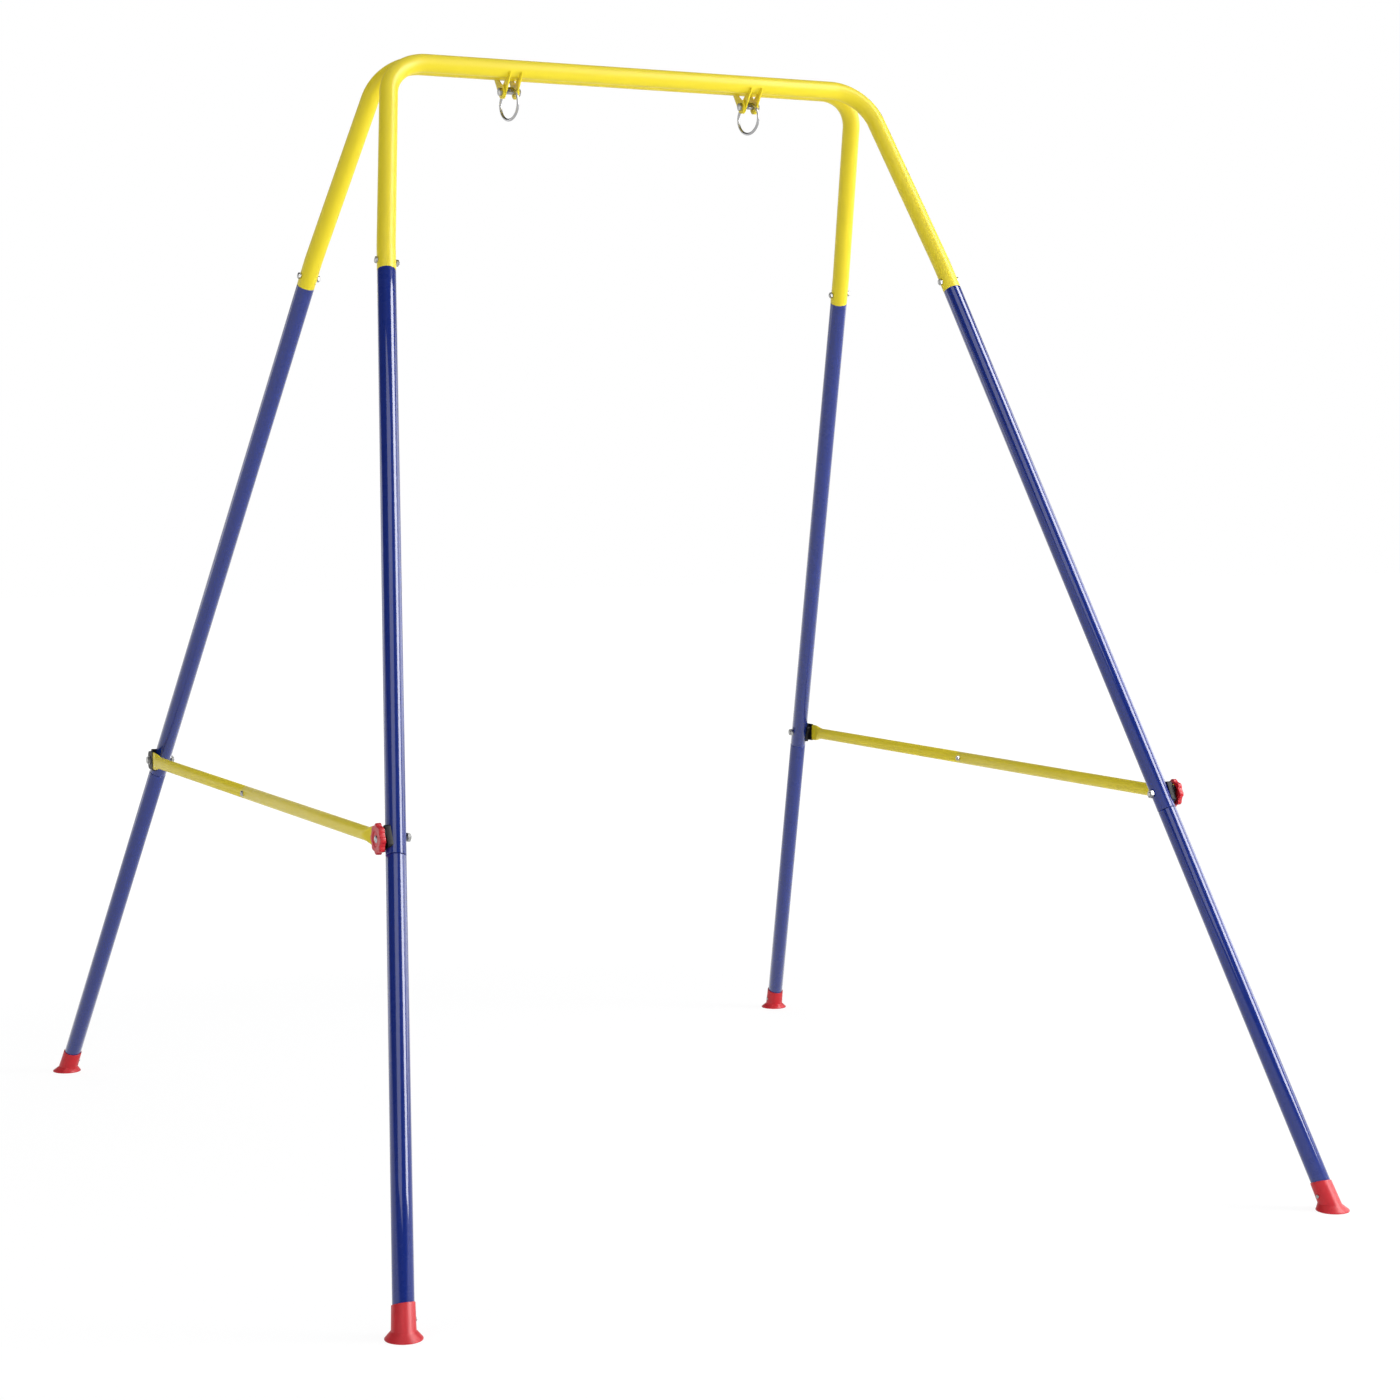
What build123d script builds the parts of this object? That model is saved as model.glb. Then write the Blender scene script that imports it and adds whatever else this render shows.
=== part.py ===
from build123d import *
import math
import os

# Folding indoor swing frame.
# Two bent top tubes lie side by side and hinge on two bolts below them, each with two splayed legs.
# A crossbar on each side keeps the legs apart. The swing hangs from two rings on the hinge bolts.
# Millimetres. X runs along the top tubes, -Y is the front, +Z is up, and the origin is on the floor.

# Whole frame
overall_height = 1940.0
foot_half_spread_x = 812.5
foot_half_spread_y = 1009.5
leg_lean_front = 9.85
leg_lean_side = 27.1
top_half_width = 464.7

# Leg and top tubes
tube_d = 32.0
tube_wall = 1.5
top_tube_gap = 1.6
corner_radius = 82.0
set_bend_radius = 300.0
set_bend_above_mouth = 50.0
top_tube_drop = 373.0
leg_seam_below_bolt = 26.3
spigot_clearance = 0.2
upper_spigot_length = 40.0
lower_spigot_length = 60.0
swage_length = 8.0

# Feet
sleeve_top_d = 34.6
sleeve_bottom_d = 36.4
foot_length = 50.4
foot_top_tilt = 21.3
foot_rim_d = 55.6
foot_rim_height = 2.0
flare_height = 11.0
leg_end_above_floor = 12.5
foot_clearance = 0.15
foot_screw_up = 28.8
foot_screw_d = 3.5
foot_screw_head_d = 6.4
foot_screw_head_height = 1.8
foot_screw_length = 7.0
foot_screw_clearance = 0.15

# Bolts that join the legs to the top tubes
joint_bolt_d = 6.0
joint_bolt_across_flats = 10.0
joint_bolt_head_height = 4.0
joint_nut_height = 4.8
joint_bolt_above_mouth = 17.5

# Larger bolts at the hangers and the crossbar ends
bolt_d = 8.0
bolt_across_flats = 13.0
bolt_head_height = 5.2
bolt_flange_d = 17.0
bolt_flange_height = 1.4
nut_height = 5.0
bolt_tip = 1.5
bolt_hole_clearance = 0.2
running_clearance = 0.1
nut_clearance = 0.05

# Hangers
hanger_half_spacing = 236.0
hinge_below_tube = 22.0
strap_thickness = 2.5
strap_gap = 0.3
hanger_inner_gap = 19.2
eye_d = 24.0
cradle_band = 5.2
cradle_top_below_axis = 7.0
strap_notch_half_width = 14.0
strap_notch_height = 10.0
weld_gap = 0.05

# Rings
ring_inner_d = 50.0
ring_wire_d = 5.0
ring_seat_gap = 0.2
ring_turn_left = 12.0
ring_turn_right = 14.5

# Crossbars
crossbar_height = 664.8
bar_d = 22.0
bar_wall = 1.2
flat_past_bolt = 8.0
flat_length = 32.0
flare_to_round = 34.0
flare_steps = 4
least_straight = 0.3
least_hollow = 0.1
round_split_angle = 20.0
splice_bolt_y = 23.0
splice_seam_past_bolt = 12.0
splice_overlap = 50.0
splice_bolt_d = 5.0
splice_head_d = 10.0
splice_head_height = 3.0
splice_nut_across_flats = 8.0
splice_nut_height = 4.0

# Saddles and end caps
saddle_face_above_tube = 3.0
saddle_length = 36.0
saddle_width = 28.0
saddle_wrap = 9.0
saddle_corner = 4.0
moving_gap = 0.3
cap_wall = 1.0
cap_length = 32.0
cap_past_bolt = 12.0
cap_corner = 10.0
cap_fit = 0.05
slot_clearance = 0.3

# Folding travel, from open to closed
fold_angle = 54.0

# Knobs
knob_lobes = 8
knob_d = 48.4
knob_lobe_d = 12.4
knob_core_d = 43.0
knob_height = 8.5
knob_edge_bevel = 1.4
knob_dish_d = 26.0
knob_dish_depth = 1.0
knob_hub_d = 18.0
knob_rim_inner_d = 34.0
knob_hollow_depth = 4.5
knob_dome_d = 12.6
knob_dome_height = 2.6

# Places worked out from the sizes above
tube_r = tube_d / 2
lean_x = math.tan(math.radians(leg_lean_front))
lean_y = math.tan(math.radians(leg_lean_side))
leg_stretch = math.sqrt(1 + lean_x**2 + lean_y**2)
top_axis_height = overall_height - tube_r
mouth_height = top_axis_height - top_tube_drop
leg_seam_height = crossbar_height - leg_seam_below_bolt
top_tube_y = tube_r + top_tube_gap / 2
set_bend_height = mouth_height + set_bend_above_mouth / leg_stretch
leg_end_height = leg_end_above_floor / leg_stretch
hinge_height = top_axis_height - tube_r - hinge_below_tube
spigot_r = tube_r - tube_wall - spigot_clearance
bolt_leg_x = foot_half_spread_x - lean_x * crossbar_height
bolt_leg_y = foot_half_spread_y - lean_y * crossbar_height
flat_thickness = 2 * bar_wall
bar_perimeter = math.pi * (bar_d - bar_wall) + 2 * bar_wall
saddle_face = tube_r + saddle_face_above_tube
bar_offset = saddle_face + moving_gap + cap_wall + flat_thickness / 2
clamp_face = bar_offset + flat_thickness / 2 + cap_wall + moving_gap
flat_height = (bar_perimeter - math.pi * flat_thickness) / 2 + flat_thickness
inner_nut_seat = tube_r * math.hypot(1, lean_x) + bolt_across_flats / math.sqrt(3) * lean_x
splice_seam_y = splice_bolt_y + splice_seam_past_bolt
bar_lift_angle = 90 - leg_lean_side
os.makedirs("parts", exist_ok=True)


def leg_point(side, face, height):
    """Point on a leg's centre line, for side -1 left or 1 right and face -1 front or 1 back."""
    x = foot_half_spread_x - lean_x * height
    y = foot_half_spread_y - lean_y * height
    return Vector(side * x, face * y, height)


def leg_plane(side, face, height):
    """Plane square to a leg, with its Z up the leg and its X pointing outwards."""
    up = Vector(-side * lean_x, -face * lean_y, 1).normalized()
    out = Vector(side, 0, 0)
    out = (out - up * out.dot(up)).normalized()
    return Plane(origin=leg_point(side, face, height), x_dir=out, z_dir=up)


def upright(radius, length, base=0.0):
    """Cylinder that stands on a height."""
    return Pos(0, 0, base) * Cylinder(radius, length, align=(Align.CENTER, Align.CENTER, Align.MIN))


def crosswise(radius, length):
    """Cylinder along X, centred."""
    return Rot(0, 90, 0) * Cylinder(radius, length)


def outwards(side, x, y, z):
    """Place whose local Z points outwards along X, away from the middle of the frame."""
    return Pos(side * x, y, z) * Rot(0, 90 * side, 0)


def hexagon(across_flats, height):
    """Plain six-sided prism that stands on its local floor."""
    return extrude(RegularPolygon(across_flats / 2, 6, major_radius=False), height)


def hex_bolt(diameter, across_flats, head_height, length):
    """Bolt with its head above its seat at local zero and its shank below."""
    return hexagon(across_flats, head_height) + upright(diameter / 2, length, -length)


def hex_nut(diameter, across_flats, height):
    """Nut that stands on its seat at local zero."""
    return hexagon(across_flats, height) - upright(diameter / 2 + nut_clearance, height)


def joint_bolt_place(side, face):
    """Square through the socket joint of a top tube, with local Z along the bolt, outwards."""
    up_leg = joint_bolt_above_mouth
    return leg_plane(side, face, mouth_height).location * Pos(0, 0, up_leg) * Rot(0, 90, 0)


def leg_bolt_hole(side, face):
    """Hole for the crossbar's bolt, straight along X through a leg."""
    hole = crosswise(bolt_d / 2 + bolt_hole_clearance, 2 * tube_d)
    return Pos(side * bolt_leg_x, face * bolt_leg_y, crossbar_height) * hole


def top_tube(face):
    """One bent top tube: a straight top, two tight corners and a slight set above each mouth."""
    def corner(side):
        return Vector(side * top_half_width, face * top_tube_y, top_axis_height)

    points = [leg_point(-1, face, mouth_height), leg_point(-1, face, set_bend_height), corner(-1)]
    points += [corner(1), leg_point(1, face, set_bend_height), leg_point(1, face, mouth_height)]
    radii = [set_bend_radius, corner_radius, corner_radius, set_bend_radius]
    path = FilletPolyline(*points, radius=radii)
    start = Plane(origin=path @ 0, z_dir=path % 0)
    tube = sweep(start * (Circle(tube_r) - Circle(tube_r - tube_wall)), path)
    for side in (-1, 1):
        hole = Cylinder(joint_bolt_d / 2 + bolt_hole_clearance, 2 * tube_d)
        tube -= joint_bolt_place(side, face) * hole
    return tube


def swaged_tube(length, spigot_length):
    """Straight tube on local zero whose top end is drawn in to fit inside the next tube."""
    inner = tube_r - tube_wall
    neck = spigot_r - tube_wall
    top = length + spigot_length
    profile = Polyline(
        (inner, 0), (tube_r, 0), (tube_r, length), (spigot_r, length), (spigot_r, top),
        (neck, top), (neck, length), (inner, length - swage_length), close=True,
    )
    return revolve(Plane.XZ * make_face(profile), Axis.Z)


def upper_leg(side, face):
    """Leg tube from its seam up to the top tube's mouth."""
    length = (mouth_height - leg_seam_height) * leg_stretch
    tube = leg_plane(side, face, leg_seam_height) * swaged_tube(length, upper_spigot_length)
    hole = Cylinder(joint_bolt_d / 2 + bolt_hole_clearance, 2 * tube_d)
    tube -= joint_bolt_place(side, face) * hole
    return tube - leg_bolt_hole(side, face)


def lower_leg(side, face):
    """Leg tube from inside the foot up to the seam."""
    length = (leg_seam_height - leg_end_height) * leg_stretch
    tube = leg_plane(side, face, leg_end_height) * swaged_tube(length, lower_spigot_length)
    tube -= foot_screw_place(side, face) * Cylinder(foot_screw_d / 2, tube_r)
    return tube - leg_bolt_hole(side, face)


def sleeve_radius(up_leg):
    """Outer radius of a foot's sleeve at a distance up the leg."""
    flare_length = flare_height * leg_stretch
    share = (up_leg - flare_length) / (foot_length - flare_length)
    return (sleeve_bottom_d + (sleeve_top_d - sleeve_bottom_d) * share) / 2


def foot_screw_place(side, face):
    """Seat of a foot's screw on the sleeve's inner side, with local Z out of the sleeve."""
    widest = sleeve_radius(foot_screw_up - foot_screw_head_d / 2)
    seat = Pos(-widest, 0, foot_screw_up) * Rot(0, -90, 0)
    return leg_plane(side, face, 0).location * seat


def foot(side, face):
    """Plastic foot: a tapered sleeve round the leg's end, with a level neck above its flared base."""
    leaning = leg_plane(side, face, 0)
    level = Plane(origin=leaning.origin, x_dir=(side, 0, 0), z_dir=(0, 0, 1))
    tilt = math.radians(foot_top_tilt)
    top_edge = Plane(
        origin=leaning.offset(foot_length).origin, x_dir=(side, 0, 0),
        z_dir=(0, -face * math.sin(tilt), math.cos(tilt)),
    )
    low = -sleeve_bottom_d / 2
    high = foot_length + sleeve_top_d / 2
    cone = Cone(
        sleeve_radius(low), sleeve_radius(high), high - low,
        align=(Align.CENTER, Align.CENTER, Align.MIN),
    )
    body = split(leaning.offset(low) * cone, bisect_by=top_edge, keep=Keep.BOTTOM)
    body = split(body, bisect_by=level.offset(flare_height), keep=Keep.TOP)
    neck = body.faces().sort_by(Axis.Z)[0]
    rim = level.offset(foot_rim_height) * Circle(foot_rim_d / 2)
    body += loft([rim.face(), neck], ruled=True)
    body += level * upright(foot_rim_d / 2, foot_rim_height)
    socket = upright(tube_r + foot_clearance, foot_length, leg_end_above_floor)
    body -= leaning * socket
    hole_r = foot_screw_d / 2 + foot_screw_clearance
    return body - foot_screw_place(side, face) * Cylinder(hole_r, tube_r)


def foot_screw(side, face):
    """Round-headed screw through a foot's sleeve into the leg."""
    head = upright(foot_screw_head_d / 2, foot_screw_head_height)
    shank_r = foot_screw_d / 2 - foot_screw_clearance
    shank = upright(shank_r, foot_screw_length, -foot_screw_length)
    return foot_screw_place(side, face) * (head + shank)


def joint_bolt(side, face):
    """Bolt through a socket joint, head outwards."""
    length = tube_d + joint_nut_height + bolt_tip
    shape = hex_bolt(joint_bolt_d, joint_bolt_across_flats, joint_bolt_head_height, length)
    return joint_bolt_place(side, face) * Pos(0, 0, tube_r) * shape


def joint_nut(side, face):
    """Nut on the inner side of a socket joint."""
    shape = hex_nut(joint_bolt_d, joint_bolt_across_flats, joint_nut_height)
    return joint_bolt_place(side, face) * Pos(0, 0, -tube_r - joint_nut_height) * shape


def strap_profile(face):
    """Outline of a hanger strap seen along X: an eye, and an arm that cradles one top tube."""
    eye = Pos(0, hinge_height) * Circle(eye_d / 2)
    tube_place = Pos(face * top_tube_y, top_axis_height)
    cradle = tube_place * Circle(tube_r + cradle_band)
    arm = make_hull(eye.edges() + cradle.edges())
    notch_base = top_axis_height - tube_r
    notch = Polyline(
        (0, notch_base - strap_notch_height), (face * strap_notch_half_width, notch_base),
        (face * strap_notch_half_width, overall_height + cradle_band),
        (-face * eye_d, overall_height + cradle_band),
        (-face * eye_d, notch_base - strap_notch_height), close=True,
    )
    arm -= make_face(notch)
    arm -= tube_place * Circle(tube_r + weld_gap)
    above = tube_place * Pos(0, -cradle_top_below_axis) * Rectangle(
        4 * tube_d, 2 * tube_d, align=(Align.CENTER, Align.MIN))
    return arm - above + eye


def hanger_straps(side, face):
    """The two straps of one hanger that are welded to one top tube."""
    hole_gap = running_clearance if face < 0 else nut_clearance
    outline = strap_profile(face) - Pos(0, hinge_height) * Circle(bolt_d / 2 + hole_gap)
    inner_face = hanger_inner_gap / 2
    if face > 0:
        inner_face += strap_thickness + strap_gap
    straps = []
    for ear in (-1, 1):
        middle = side * hanger_half_spacing + ear * (inner_face + strap_thickness / 2)
        strap = extrude(Plane.YZ * outline, strap_thickness / 2, both=True)
        straps.append(Pos(middle, 0, 0) * strap)
    return Compound(straps)


def hanger_stack():
    """Half the width of a hanger over its four straps."""
    return hanger_inner_gap / 2 + 2 * strap_thickness + strap_gap


def hanger_bolt(side):
    """Hinge bolt through a hanger, with its head to the left."""
    length = 2 * hanger_stack() + nut_height + bolt_tip
    shape = hex_bolt(bolt_d, bolt_across_flats, bolt_head_height, length)
    x = side * hanger_half_spacing - hanger_stack()
    return Pos(x, 0, hinge_height) * Rot(0, -90, 0) * shape


def hanger_nut(side):
    """Nut on the right side of a hanger."""
    x = side * hanger_half_spacing + hanger_stack()
    place = Pos(x, 0, hinge_height) * Rot(0, 90, 0)
    return place * hex_nut(bolt_d, bolt_across_flats, nut_height)


def ring(side):
    """Swing ring that hangs over the hinge bolt between the ears, turned a little about Z."""
    turn = ring_turn_left if side < 0 else ring_turn_right
    middle = hinge_height + bolt_d / 2 + ring_seat_gap - ring_inner_d / 2
    shape = Torus((ring_inner_d + ring_wire_d) / 2, ring_wire_d / 2)
    return Pos(side * hanger_half_spacing, 0, middle) * Rot(0, 0, turn) * Rot(0, 90, 0) * shape


def pressed_section(half_thickness, wall_in, y):
    """Section of the crossbar's tube pressed to a thickness, its perimeter kept."""
    straight = (bar_perimeter - 2 * math.pi * half_thickness) / 4
    a = half_thickness - wall_in
    if straight > least_straight:
        right = Line((a, -straight), (a, straight))
        left = Line((-a, straight), (-a, -straight))
        top = ThreePointArc((a, straight), (0, straight + a), (-a, straight))
        bottom = ThreePointArc((-a, -straight), (0, -straight - a), (a, -straight))
    else:
        split = math.radians(round_split_angle)
        cx = a * math.cos(split)
        cz = a * math.sin(split)
        right = ThreePointArc((cx, -cz), (a, 0), (cx, cz))
        left = ThreePointArc((-cx, cz), (-a, 0), (-cx, -cz))
        top = ThreePointArc((cx, cz), (0, a), (-cx, cz))
        bottom = ThreePointArc((-cx, -cz), (0, -a), (cx, -cz))
    face = make_face(right + top + left + bottom)
    return Plane(origin=(0, y, 0), x_dir=(1, 0, 0), z_dir=(0, -1, 0)) * face


def flare_sections(face, wall_in):
    """Sections from the pressed flat to the round tube, evenly spaced with a smooth rise."""
    sections = []
    for step in range(flare_steps + 1):
        share = step / flare_steps
        rise = share * share * (3 - 2 * share)
        half = flat_thickness / 2 + (bar_d - flat_thickness) / 2 * rise
        along = bolt_leg_y - flat_length - flare_to_round * share
        if half - wall_in > least_hollow:
            sections.append(pressed_section(half, wall_in, face * along))
    return sections


def pressed_end(face):
    """Flattened end of a crossbar's tube, as a solid outside and the hollow inside it."""
    middle = bolt_leg_y + (flat_past_bolt - flat_length) / 2
    flat = Pos(0, face * middle, 0) * Box(
        flat_thickness, flat_past_bolt + flat_length, flat_height)
    outside = flat + loft(flare_sections(face, 0), ruled=True)
    return outside, loft(flare_sections(face, bar_wall), ruled=True)


def along_bar(radius, start, end):
    """Cylinder along Y between two places."""
    return Pos(0, (start + end) / 2, 0) * Rot(90, 0, 0) * Cylinder(radius, abs(end - start))


def bar_place(side):
    """Line of a crossbar's centre, at the height of its bolts."""
    return Pos(side * (bolt_leg_x + bar_offset), 0, crossbar_height)


def knob_slot(width):
    """Open slot from the knob's bolt to the lower edge, along the path that the bolt takes."""
    drop = hinge_height - crossbar_height
    lift = bar_lift_angle / fold_angle
    lean = math.degrees(math.atan2(drop, bolt_leg_y * (1 + 2 * lift)))
    reach = bar_d
    slot = crosswise(width / 2, 2 * width)
    slot += Pos(0, 0, -reach) * Box(2 * width, width, 2 * reach)
    return Pos(0, -bolt_leg_y, 0) * Rot(lean, 0, 0) * slot


def crossbar_front(side):
    """Front half of a crossbar, with the open slot in its flattened end."""
    outside, hollow = pressed_end(-1)
    start = -bolt_leg_y + flat_length + flare_to_round
    bar = outside + along_bar(bar_d / 2, start, splice_seam_y)
    bar -= hollow
    bar -= along_bar(bar_d / 2 - bar_wall, start, splice_seam_y)
    bar -= knob_slot(bolt_d + 2 * slot_clearance)
    bar -= splice_hole()
    return bar_place(side) * bar


def crossbar_rear(side):
    """Rear half of a crossbar, with a pivot hole and a drawn-in end inside the front half."""
    outside, hollow = pressed_end(1)
    end = bolt_leg_y - flat_length - flare_to_round
    spigot = bar_d / 2 - bar_wall - spigot_clearance
    spigot_end = splice_seam_y - splice_overlap
    bar = outside + along_bar(bar_d / 2, splice_seam_y, end)
    bar += along_bar(spigot, spigot_end, splice_seam_y)
    bar -= hollow
    bar -= along_bar(bar_d / 2 - bar_wall, splice_seam_y + swage_length, end)
    bar -= along_bar(spigot - bar_wall, spigot_end, splice_seam_y + swage_length)
    hole = crosswise(bolt_d / 2 + running_clearance, bar_d)
    bar -= Pos(0, bolt_leg_y, 0) * hole
    bar -= splice_hole()
    return bar_place(side) * bar


def splice_hole():
    """Hole for the bolt that joins the two halves of a crossbar."""
    hole = crosswise(splice_bolt_d / 2 + bolt_hole_clearance, 2 * bar_d)
    return Pos(0, splice_bolt_y, 0) * hole


def splice_bolt(side):
    """Round-headed bolt through a crossbar's splice, head outwards."""
    head = upright(splice_head_d / 2, splice_head_height)
    head = chamfer(head.edges().group_by(Axis.Z)[-1], splice_head_height / 2)
    length = bar_d + splice_nut_height + bolt_tip
    shape = head + upright(splice_bolt_d / 2, length, -length)
    x = bolt_leg_x + bar_offset + bar_d / 2
    return outwards(side, x, splice_bolt_y, crossbar_height) * shape


def splice_nut(side):
    """Nut on the inner side of a crossbar's splice."""
    shape = hex_nut(splice_bolt_d, splice_nut_across_flats, splice_nut_height)
    x = bolt_leg_x + bar_offset - bar_d / 2 - splice_nut_height
    return outwards(side, x, splice_bolt_y, crossbar_height) * shape


def cap_outline(face):
    """Outline of an end cap seen along X, round at its outer corners."""
    height = flat_height + 2 * cap_wall
    near = bolt_leg_y + cap_past_bolt - cap_length
    outline = Rectangle(cap_length, height, align=(Align.MIN, Align.CENTER))
    outline = fillet(outline.vertices().group_by(Axis.X)[-1], cap_corner)
    outline = Pos(near, 0) * outline
    if face < 0:
        outline = mirror(outline, Plane.YZ)
    return outline


def end_cap(side, face):
    """Plastic cap pushed over the flattened end of a crossbar."""
    thickness = flat_thickness + 2 * cap_wall
    cap = extrude(Plane.YZ * cap_outline(face), thickness / 2, both=True)
    depth = flat_past_bolt + flat_length
    middle = bolt_leg_y + (flat_past_bolt - flat_length) / 2
    pocket = Box(flat_thickness + 2 * cap_fit, depth + 2 * cap_fit, flat_height + 2 * cap_fit)
    cap -= Pos(0, face * middle, 0) * pocket
    if face < 0:
        cap -= knob_slot(bolt_d + 2 * slot_clearance)
    else:
        cap -= Pos(0, bolt_leg_y, 0) * crosswise(bolt_d / 2 + running_clearance, bar_d)
    return bar_place(side) * cap


def saddle(side, face):
    """Plastic saddle: hollow where it hugs the leg, flat and upright where the crossbar bears."""
    outline = fillet(Rectangle(saddle_width, saddle_length).vertices(), saddle_corner)
    block = extrude(outline, saddle_wrap)
    turned = Pos(0, 0, saddle_face - saddle_wrap) * block
    tilt = Rot(face * leg_lean_side, 0, 0)
    centre = Pos(side * bolt_leg_x, face * bolt_leg_y, crossbar_height)
    body = centre * tilt * Rot(0, 90 * side, 0) * Rot(0, 0, 90) * turned
    leg = leg_plane(side, face, crossbar_height) * Cylinder(tube_r + weld_gap, 3 * saddle_length)
    hole = crosswise(bolt_d / 2 + bolt_hole_clearance, 2 * tube_d)
    return body - leg - centre * hole


def pivot_bolt(side):
    """Flanged bolt that a crossbar's rear end turns on."""
    length = clamp_face + inner_nut_seat + nut_height + bolt_tip
    shape = hex_bolt(bolt_d, bolt_across_flats, bolt_head_height, length)
    shape += upright(bolt_flange_d / 2, bolt_flange_height)
    x = bolt_leg_x + clamp_face
    return outwards(side, x, bolt_leg_y, crossbar_height) * shape


def inner_nut(side, face, clearance):
    """Nut on the inner side of a leg, on a crossbar's bolt."""
    shape = hexagon(bolt_across_flats, nut_height)
    shape -= upright(bolt_d / 2 + clearance, nut_height)
    x = bolt_leg_x - inner_nut_seat - nut_height
    return outwards(side, x, face * bolt_leg_y, crossbar_height) * shape


def knob(side):
    """Lobed hand knob, hollow behind, with a shallow dish for the bolt's dome."""
    outline = Circle(knob_core_d / 2)
    lobe_place = (knob_d - knob_lobe_d) / 2
    outline += PolarLocations(lobe_place, knob_lobes) * Circle(knob_lobe_d / 2)
    body = extrude(outline, knob_height)
    body = chamfer(body.edges().group_by(Axis.Z)[-1], knob_edge_bevel)
    body -= upright(knob_dish_d / 2, knob_dish_depth, knob_height - knob_dish_depth)
    hollow = upright(knob_rim_inner_d / 2, knob_hollow_depth)
    hollow -= upright(knob_hub_d / 2, knob_hollow_depth)
    body -= hollow
    body -= upright(bolt_d / 2 + nut_clearance, knob_height)
    x = bolt_leg_x + clamp_face
    return outwards(side, x, -bolt_leg_y, crossbar_height) * body


def knob_bolt(side):
    """Dome-headed bolt that turns with a knob."""
    dome_r = (knob_dome_d**2 / 4 + knob_dome_height**2) / (2 * knob_dome_height)
    dome = Pos(0, 0, knob_dome_height - dome_r) * Sphere(dome_r)
    dome &= upright(knob_dome_d / 2, knob_dome_height)
    seat = knob_height - knob_dish_depth
    length = seat + clamp_face + inner_nut_seat + nut_height + bolt_tip
    shape = dome + upright(bolt_d / 2, length, -length)
    x = bolt_leg_x + clamp_face + seat
    return outwards(side, x, -bolt_leg_y, crossbar_height) * shape


def save(name, shape):
    """Write one named piece."""
    export_step(shape, f"parts/{name}.step")


sides = {"left": -1, "right": 1}
faces = {"front": -1, "back": 1}

for face_name, face in faces.items():
    save(f"top_tube_{face_name}", top_tube(face))
    save(f"joint_bolts_{face_name}", Compound([joint_bolt(side, face) for side in (-1, 1)]))
    save(f"joint_nuts_{face_name}", Compound([joint_nut(side, face) for side in (-1, 1)]))
    save(f"foot_screws_{face_name}", Compound([foot_screw(side, face) for side in (-1, 1)]))
    for side_name, side in sides.items():
        corner = f"{face_name}_{side_name}"
        save(f"upper_leg_{corner}", upper_leg(side, face))
        save(f"lower_leg_{corner}", lower_leg(side, face))
        save(f"foot_{corner}", foot(side, face))
        save(f"saddle_{corner}", saddle(side, face))
        save(f"end_cap_{corner}", end_cap(side, face))
        save(f"hanger_straps_{corner}", hanger_straps(side, face))

for side_name, side in sides.items():
    save(f"hanger_bolt_{side_name}", hanger_bolt(side))
    save(f"hanger_nut_{side_name}", hanger_nut(side))
    save(f"ring_{side_name}", ring(side))
    save(f"crossbar_front_{side_name}", crossbar_front(side))
    save(f"crossbar_rear_{side_name}", crossbar_rear(side))
    save(f"splice_bolt_{side_name}", splice_bolt(side))
    save(f"splice_nut_{side_name}", splice_nut(side))
    save(f"pivot_bolt_{side_name}", pivot_bolt(side))
    save(f"pivot_nut_{side_name}", inner_nut(side, 1, nut_clearance))
    save(f"knob_{side_name}", knob(side))
    save(f"knob_bolt_{side_name}", knob_bolt(side))
    save(f"knob_nut_{side_name}", inner_nut(side, -1, running_clearance))
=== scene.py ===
import bpy
import bmesh
import math
from mathutils import Matrix, Vector


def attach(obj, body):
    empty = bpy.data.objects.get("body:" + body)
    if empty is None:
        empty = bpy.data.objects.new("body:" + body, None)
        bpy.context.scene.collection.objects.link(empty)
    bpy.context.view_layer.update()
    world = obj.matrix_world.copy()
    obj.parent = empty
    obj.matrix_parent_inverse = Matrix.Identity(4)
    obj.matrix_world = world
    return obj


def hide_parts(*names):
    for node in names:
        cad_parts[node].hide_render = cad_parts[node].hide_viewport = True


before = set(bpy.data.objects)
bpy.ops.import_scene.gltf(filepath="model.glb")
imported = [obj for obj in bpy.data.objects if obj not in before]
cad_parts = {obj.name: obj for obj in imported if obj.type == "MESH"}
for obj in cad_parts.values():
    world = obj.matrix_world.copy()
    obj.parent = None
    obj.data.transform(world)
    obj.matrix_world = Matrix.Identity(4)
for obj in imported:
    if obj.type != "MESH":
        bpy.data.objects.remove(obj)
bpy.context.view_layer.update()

# Studio
# The frame stands on a plain white floor that runs into a white room, seen from the front left and 1.2 m
# above the floor through a long lens. The ceiling is dim, so that only the lamps draw lines on the
# glossy tubes.
camera_data = bpy.data.cameras.new("camera")
camera_data.lens = 73.09
camera_data.sensor_width = 36.0
camera_data.clip_end = 60.0
camera = bpy.data.objects.new("camera", camera_data)
camera.location = (-2.1403, -4.7186, 1.2071)
camera.rotation_euler = (math.radians(90 - 4.452), 0.0, math.radians(-25.768))
bpy.context.collection.objects.link(camera)
bpy.context.scene.camera = camera
bpy.context.scene.view_settings.view_transform = "Standard"


def looked_at(nodes):
    """A socket that is 1 where the camera looks, straight or by way of a glossy surface or glass."""
    path = nodes.new("ShaderNodeLightPath")
    seen = nodes.new("ShaderNodeMath")
    seen.operation = "MAXIMUM"
    either = nodes.new("ShaderNodeMath")
    either.operation = "MAXIMUM"
    links = nodes.id_data.links
    links.new(path.outputs["Is Camera Ray"], seen.inputs[0])
    links.new(path.outputs["Is Glossy Ray"], seen.inputs[1])
    links.new(seen.outputs[0], either.inputs[0])
    links.new(path.outputs["Is Transmission Ray"], either.inputs[1])
    return either.outputs[0]


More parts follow.
